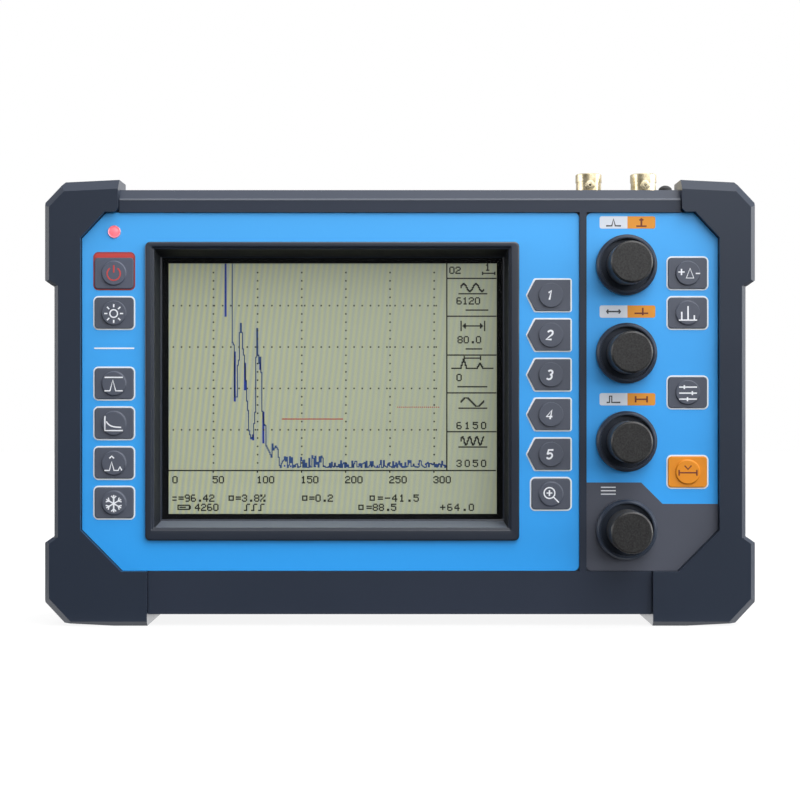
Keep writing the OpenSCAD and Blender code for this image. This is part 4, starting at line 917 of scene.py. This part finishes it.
floor = bpy.context.active_object
floor.name = "studioFloor"
look, tree, shader, place = newLook("paleFloor", "4a4a4a", 0.9)
ray = addNode(tree, "ShaderNodeLightPath").outputs
depth = {"Value": addNode(tree, "ShaderNodeSeparateXYZ", None, {"Vector": place}).outputs["Y"]}
# reflections show the floor bright behind the object and in a strip under it, and else dark
behind = addNode(tree, "ShaderNodeMapRange", between(*studio["mirrorFrom"]), depth)
under = addNode(tree, "ShaderNodeMapRange", between(*studio["footFrom"], 0, studio["footGlow"]), depth)
past = addNode(tree, "ShaderNodeMapRange", between(*studio["footUntil"], 0, studio["footGlow"]), depth)
strip = addNode(tree, "ShaderNodeMath", {"operation": "SUBTRACT"},
                {0: under.outputs["Result"], 1: past.outputs["Result"]})
bright = addNode(tree, "ShaderNodeMath", {"operation": "MAXIMUM"},
                 {0: behind.outputs["Result"], 1: strip.outputs["Value"]})
mirrored = addNode(tree, "ShaderNodeMath", {"operation": "MULTIPLY"},
                   {0: ray["Is Glossy Ray"], 1: bright.outputs["Value"]})
seen = addNode(tree, "ShaderNodeMath", {"operation": "MAXIMUM"},
               {0: ray["Is Camera Ray"], 1: ray["Is Transmission Ray"]})
anySeen = addNode(tree, "ShaderNodeMath", {"operation": "MAXIMUM"},
                  {0: seen.outputs["Value"], 1: mirrored.outputs["Value"]})
glow = addNode(tree, "ShaderNodeMath", {"operation": "MULTIPLY", 1: studio["floorGlow"]},
               {0: anySeen.outputs["Value"]})
shader.inputs["Emission Color"].default_value = (1, 1, 1, 1)
tree.links.new(glow.outputs["Value"], shader.inputs["Emission Strength"])
before = addNode(tree, "ShaderNodeMath", {"operation": "SUBTRACT"},
                 {0: ray["Is Glossy Ray"], 1: mirrored.outputs["Value"]})
darkFloor = addNode(tree, "ShaderNodeBsdfDiffuse", {"Color": linear("0c0c0c")})
pick = addNode(tree, "ShaderNodeMixShader", None,
               {"Fac": before.outputs["Value"], 1: shader.outputs["BSDF"],
                2: darkFloor.outputs["BSDF"]})
tree.links.new(pick.outputs["Shader"], tree.nodes["Material Output"].inputs["Surface"])
floor.data.materials.append(look)

world = bpy.data.worlds.new("studioWorld")
bpy.context.scene.world = world
world.use_nodes = True
tree = world.node_tree
sky = tree.nodes["Background"]
sky.inputs["Color"].default_value = (1, 1, 1, 1)
direction = addNode(tree, "ShaderNodeTexCoord")
way = addNode(tree, "ShaderNodeSeparateXYZ", None, {"Vector": direction.outputs["Generated"]}).outputs
height = addNode(tree, "ShaderNodeMapRange", between(-1, 1), {"Value": way["Z"]})
heightLight = addNode(tree, "ShaderNodeValToRGB", None, {"Fac": height.outputs["Result"]})
while len(heightLight.color_ramp.elements) < len(studio["heights"]):
    heightLight.color_ramp.elements.new(1)
for stop, (z, strength) in zip(heightLight.color_ramp.elements, studio["heights"]):
    stop.position = (z + 1) / 2
    stop.color = (*[strength / studio["brightest"]] * 3, 1)
sideLight = addNode(tree, "ShaderNodeMapRange",
                    between(-studio["turn"], studio["turn"], studio["brightest"] * studio["left"],
                            studio["brightest"] * studio["right"]), {"Value": way["X"]})
backLight = addNode(tree, "ShaderNodeMapRange", between(-1, 0, 1, studio["back"]), {"Value": way["Y"]})
level = addNode(tree, "ShaderNodeMath", {"operation": "MULTIPLY"},
                {0: heightLight.outputs["Color"], 1: sideLight.outputs["Result"]})
brightest = addNode(tree, "ShaderNodeMath", {"operation": "MULTIPLY"},
                    {0: level.outputs["Value"], 1: backLight.outputs["Result"]})
for side, name in ((-1, "leftStrip"), (1, "rightStrip")):  # tall soft boxes beside the object
    edge, full = studio["stripEdge"]
    strip = addNode(tree, "ShaderNodeMapRange", between(side * edge, side * full, 0, studio[name]),
                    {"Value": way["X"]})
    brightest = addNode(tree, "ShaderNodeMath", {"operation": "MAXIMUM"},
                        {0: brightest.outputs["Value"], 1: strip.outputs["Result"]})
tree.links.new(brightest.outputs["Value"], sky.inputs["Strength"])
# the backdrop is plain white to the camera, through the window, and behind and above in reflections
white = addNode(tree, "ShaderNodeBackground", {"Color": (1, 1, 1, 1), "Strength": 1.0})
ray = addNode(tree, "ShaderNodeLightPath").outputs
fromBehind = addNode(tree, "ShaderNodeMapRange", between(*studio["whiteBehind"]), {"Value": way["Y"]})
aboveTable = addNode(tree, "ShaderNodeMapRange", between(*studio["whiteAbove"], studio["whiteLow"]),
                     {"Value": way["Z"]})
whiteShare = addNode(tree, "ShaderNodeMath", {"operation": "MULTIPLY"},
                     {0: fromBehind.outputs["Result"], 1: aboveTable.outputs["Result"]})
glossWhite = addNode(tree, "ShaderNodeMath", {"operation": "MULTIPLY"},
                     {0: ray["Is Glossy Ray"], 1: whiteShare.outputs["Value"]})
plainWhite = addNode(tree, "ShaderNodeMath", {"operation": "MAXIMUM"},
                     {0: ray["Is Camera Ray"], 1: ray["Is Transmission Ray"]})
anyWhite = addNode(tree, "ShaderNodeMath", {"operation": "MAXIMUM"},
                   {0: plainWhite.outputs["Value"], 1: glossWhite.outputs["Value"]})
pick = addNode(tree, "ShaderNodeMixShader", None,
               {"Fac": anyWhite.outputs["Value"], 1: sky.outputs["Background"],
                2: white.outputs["Background"]})
tree.links.new(pick.outputs["Shader"], tree.nodes["World Output"].inputs["Surface"])


for name, aimHeight in (("key", 0.1), ("side", 0.08)):
    data = bpy.data.lights.new(name + "Lamp", "AREA")
    data.size = studio[name + "Size"]
    data.energy = studio[name + "Power"]
    lamp = placed(name + "Lamp", data)
    lamp.location = studio[name + "Place"]
    aim = Vector((0, 0, aimHeight)) - lamp.location
    lamp.rotation_euler = aim.to_track_quat("-Z", "Y").to_euler()
bpy.context.scene.view_settings.view_transform = "Standard"
print("studio lit")
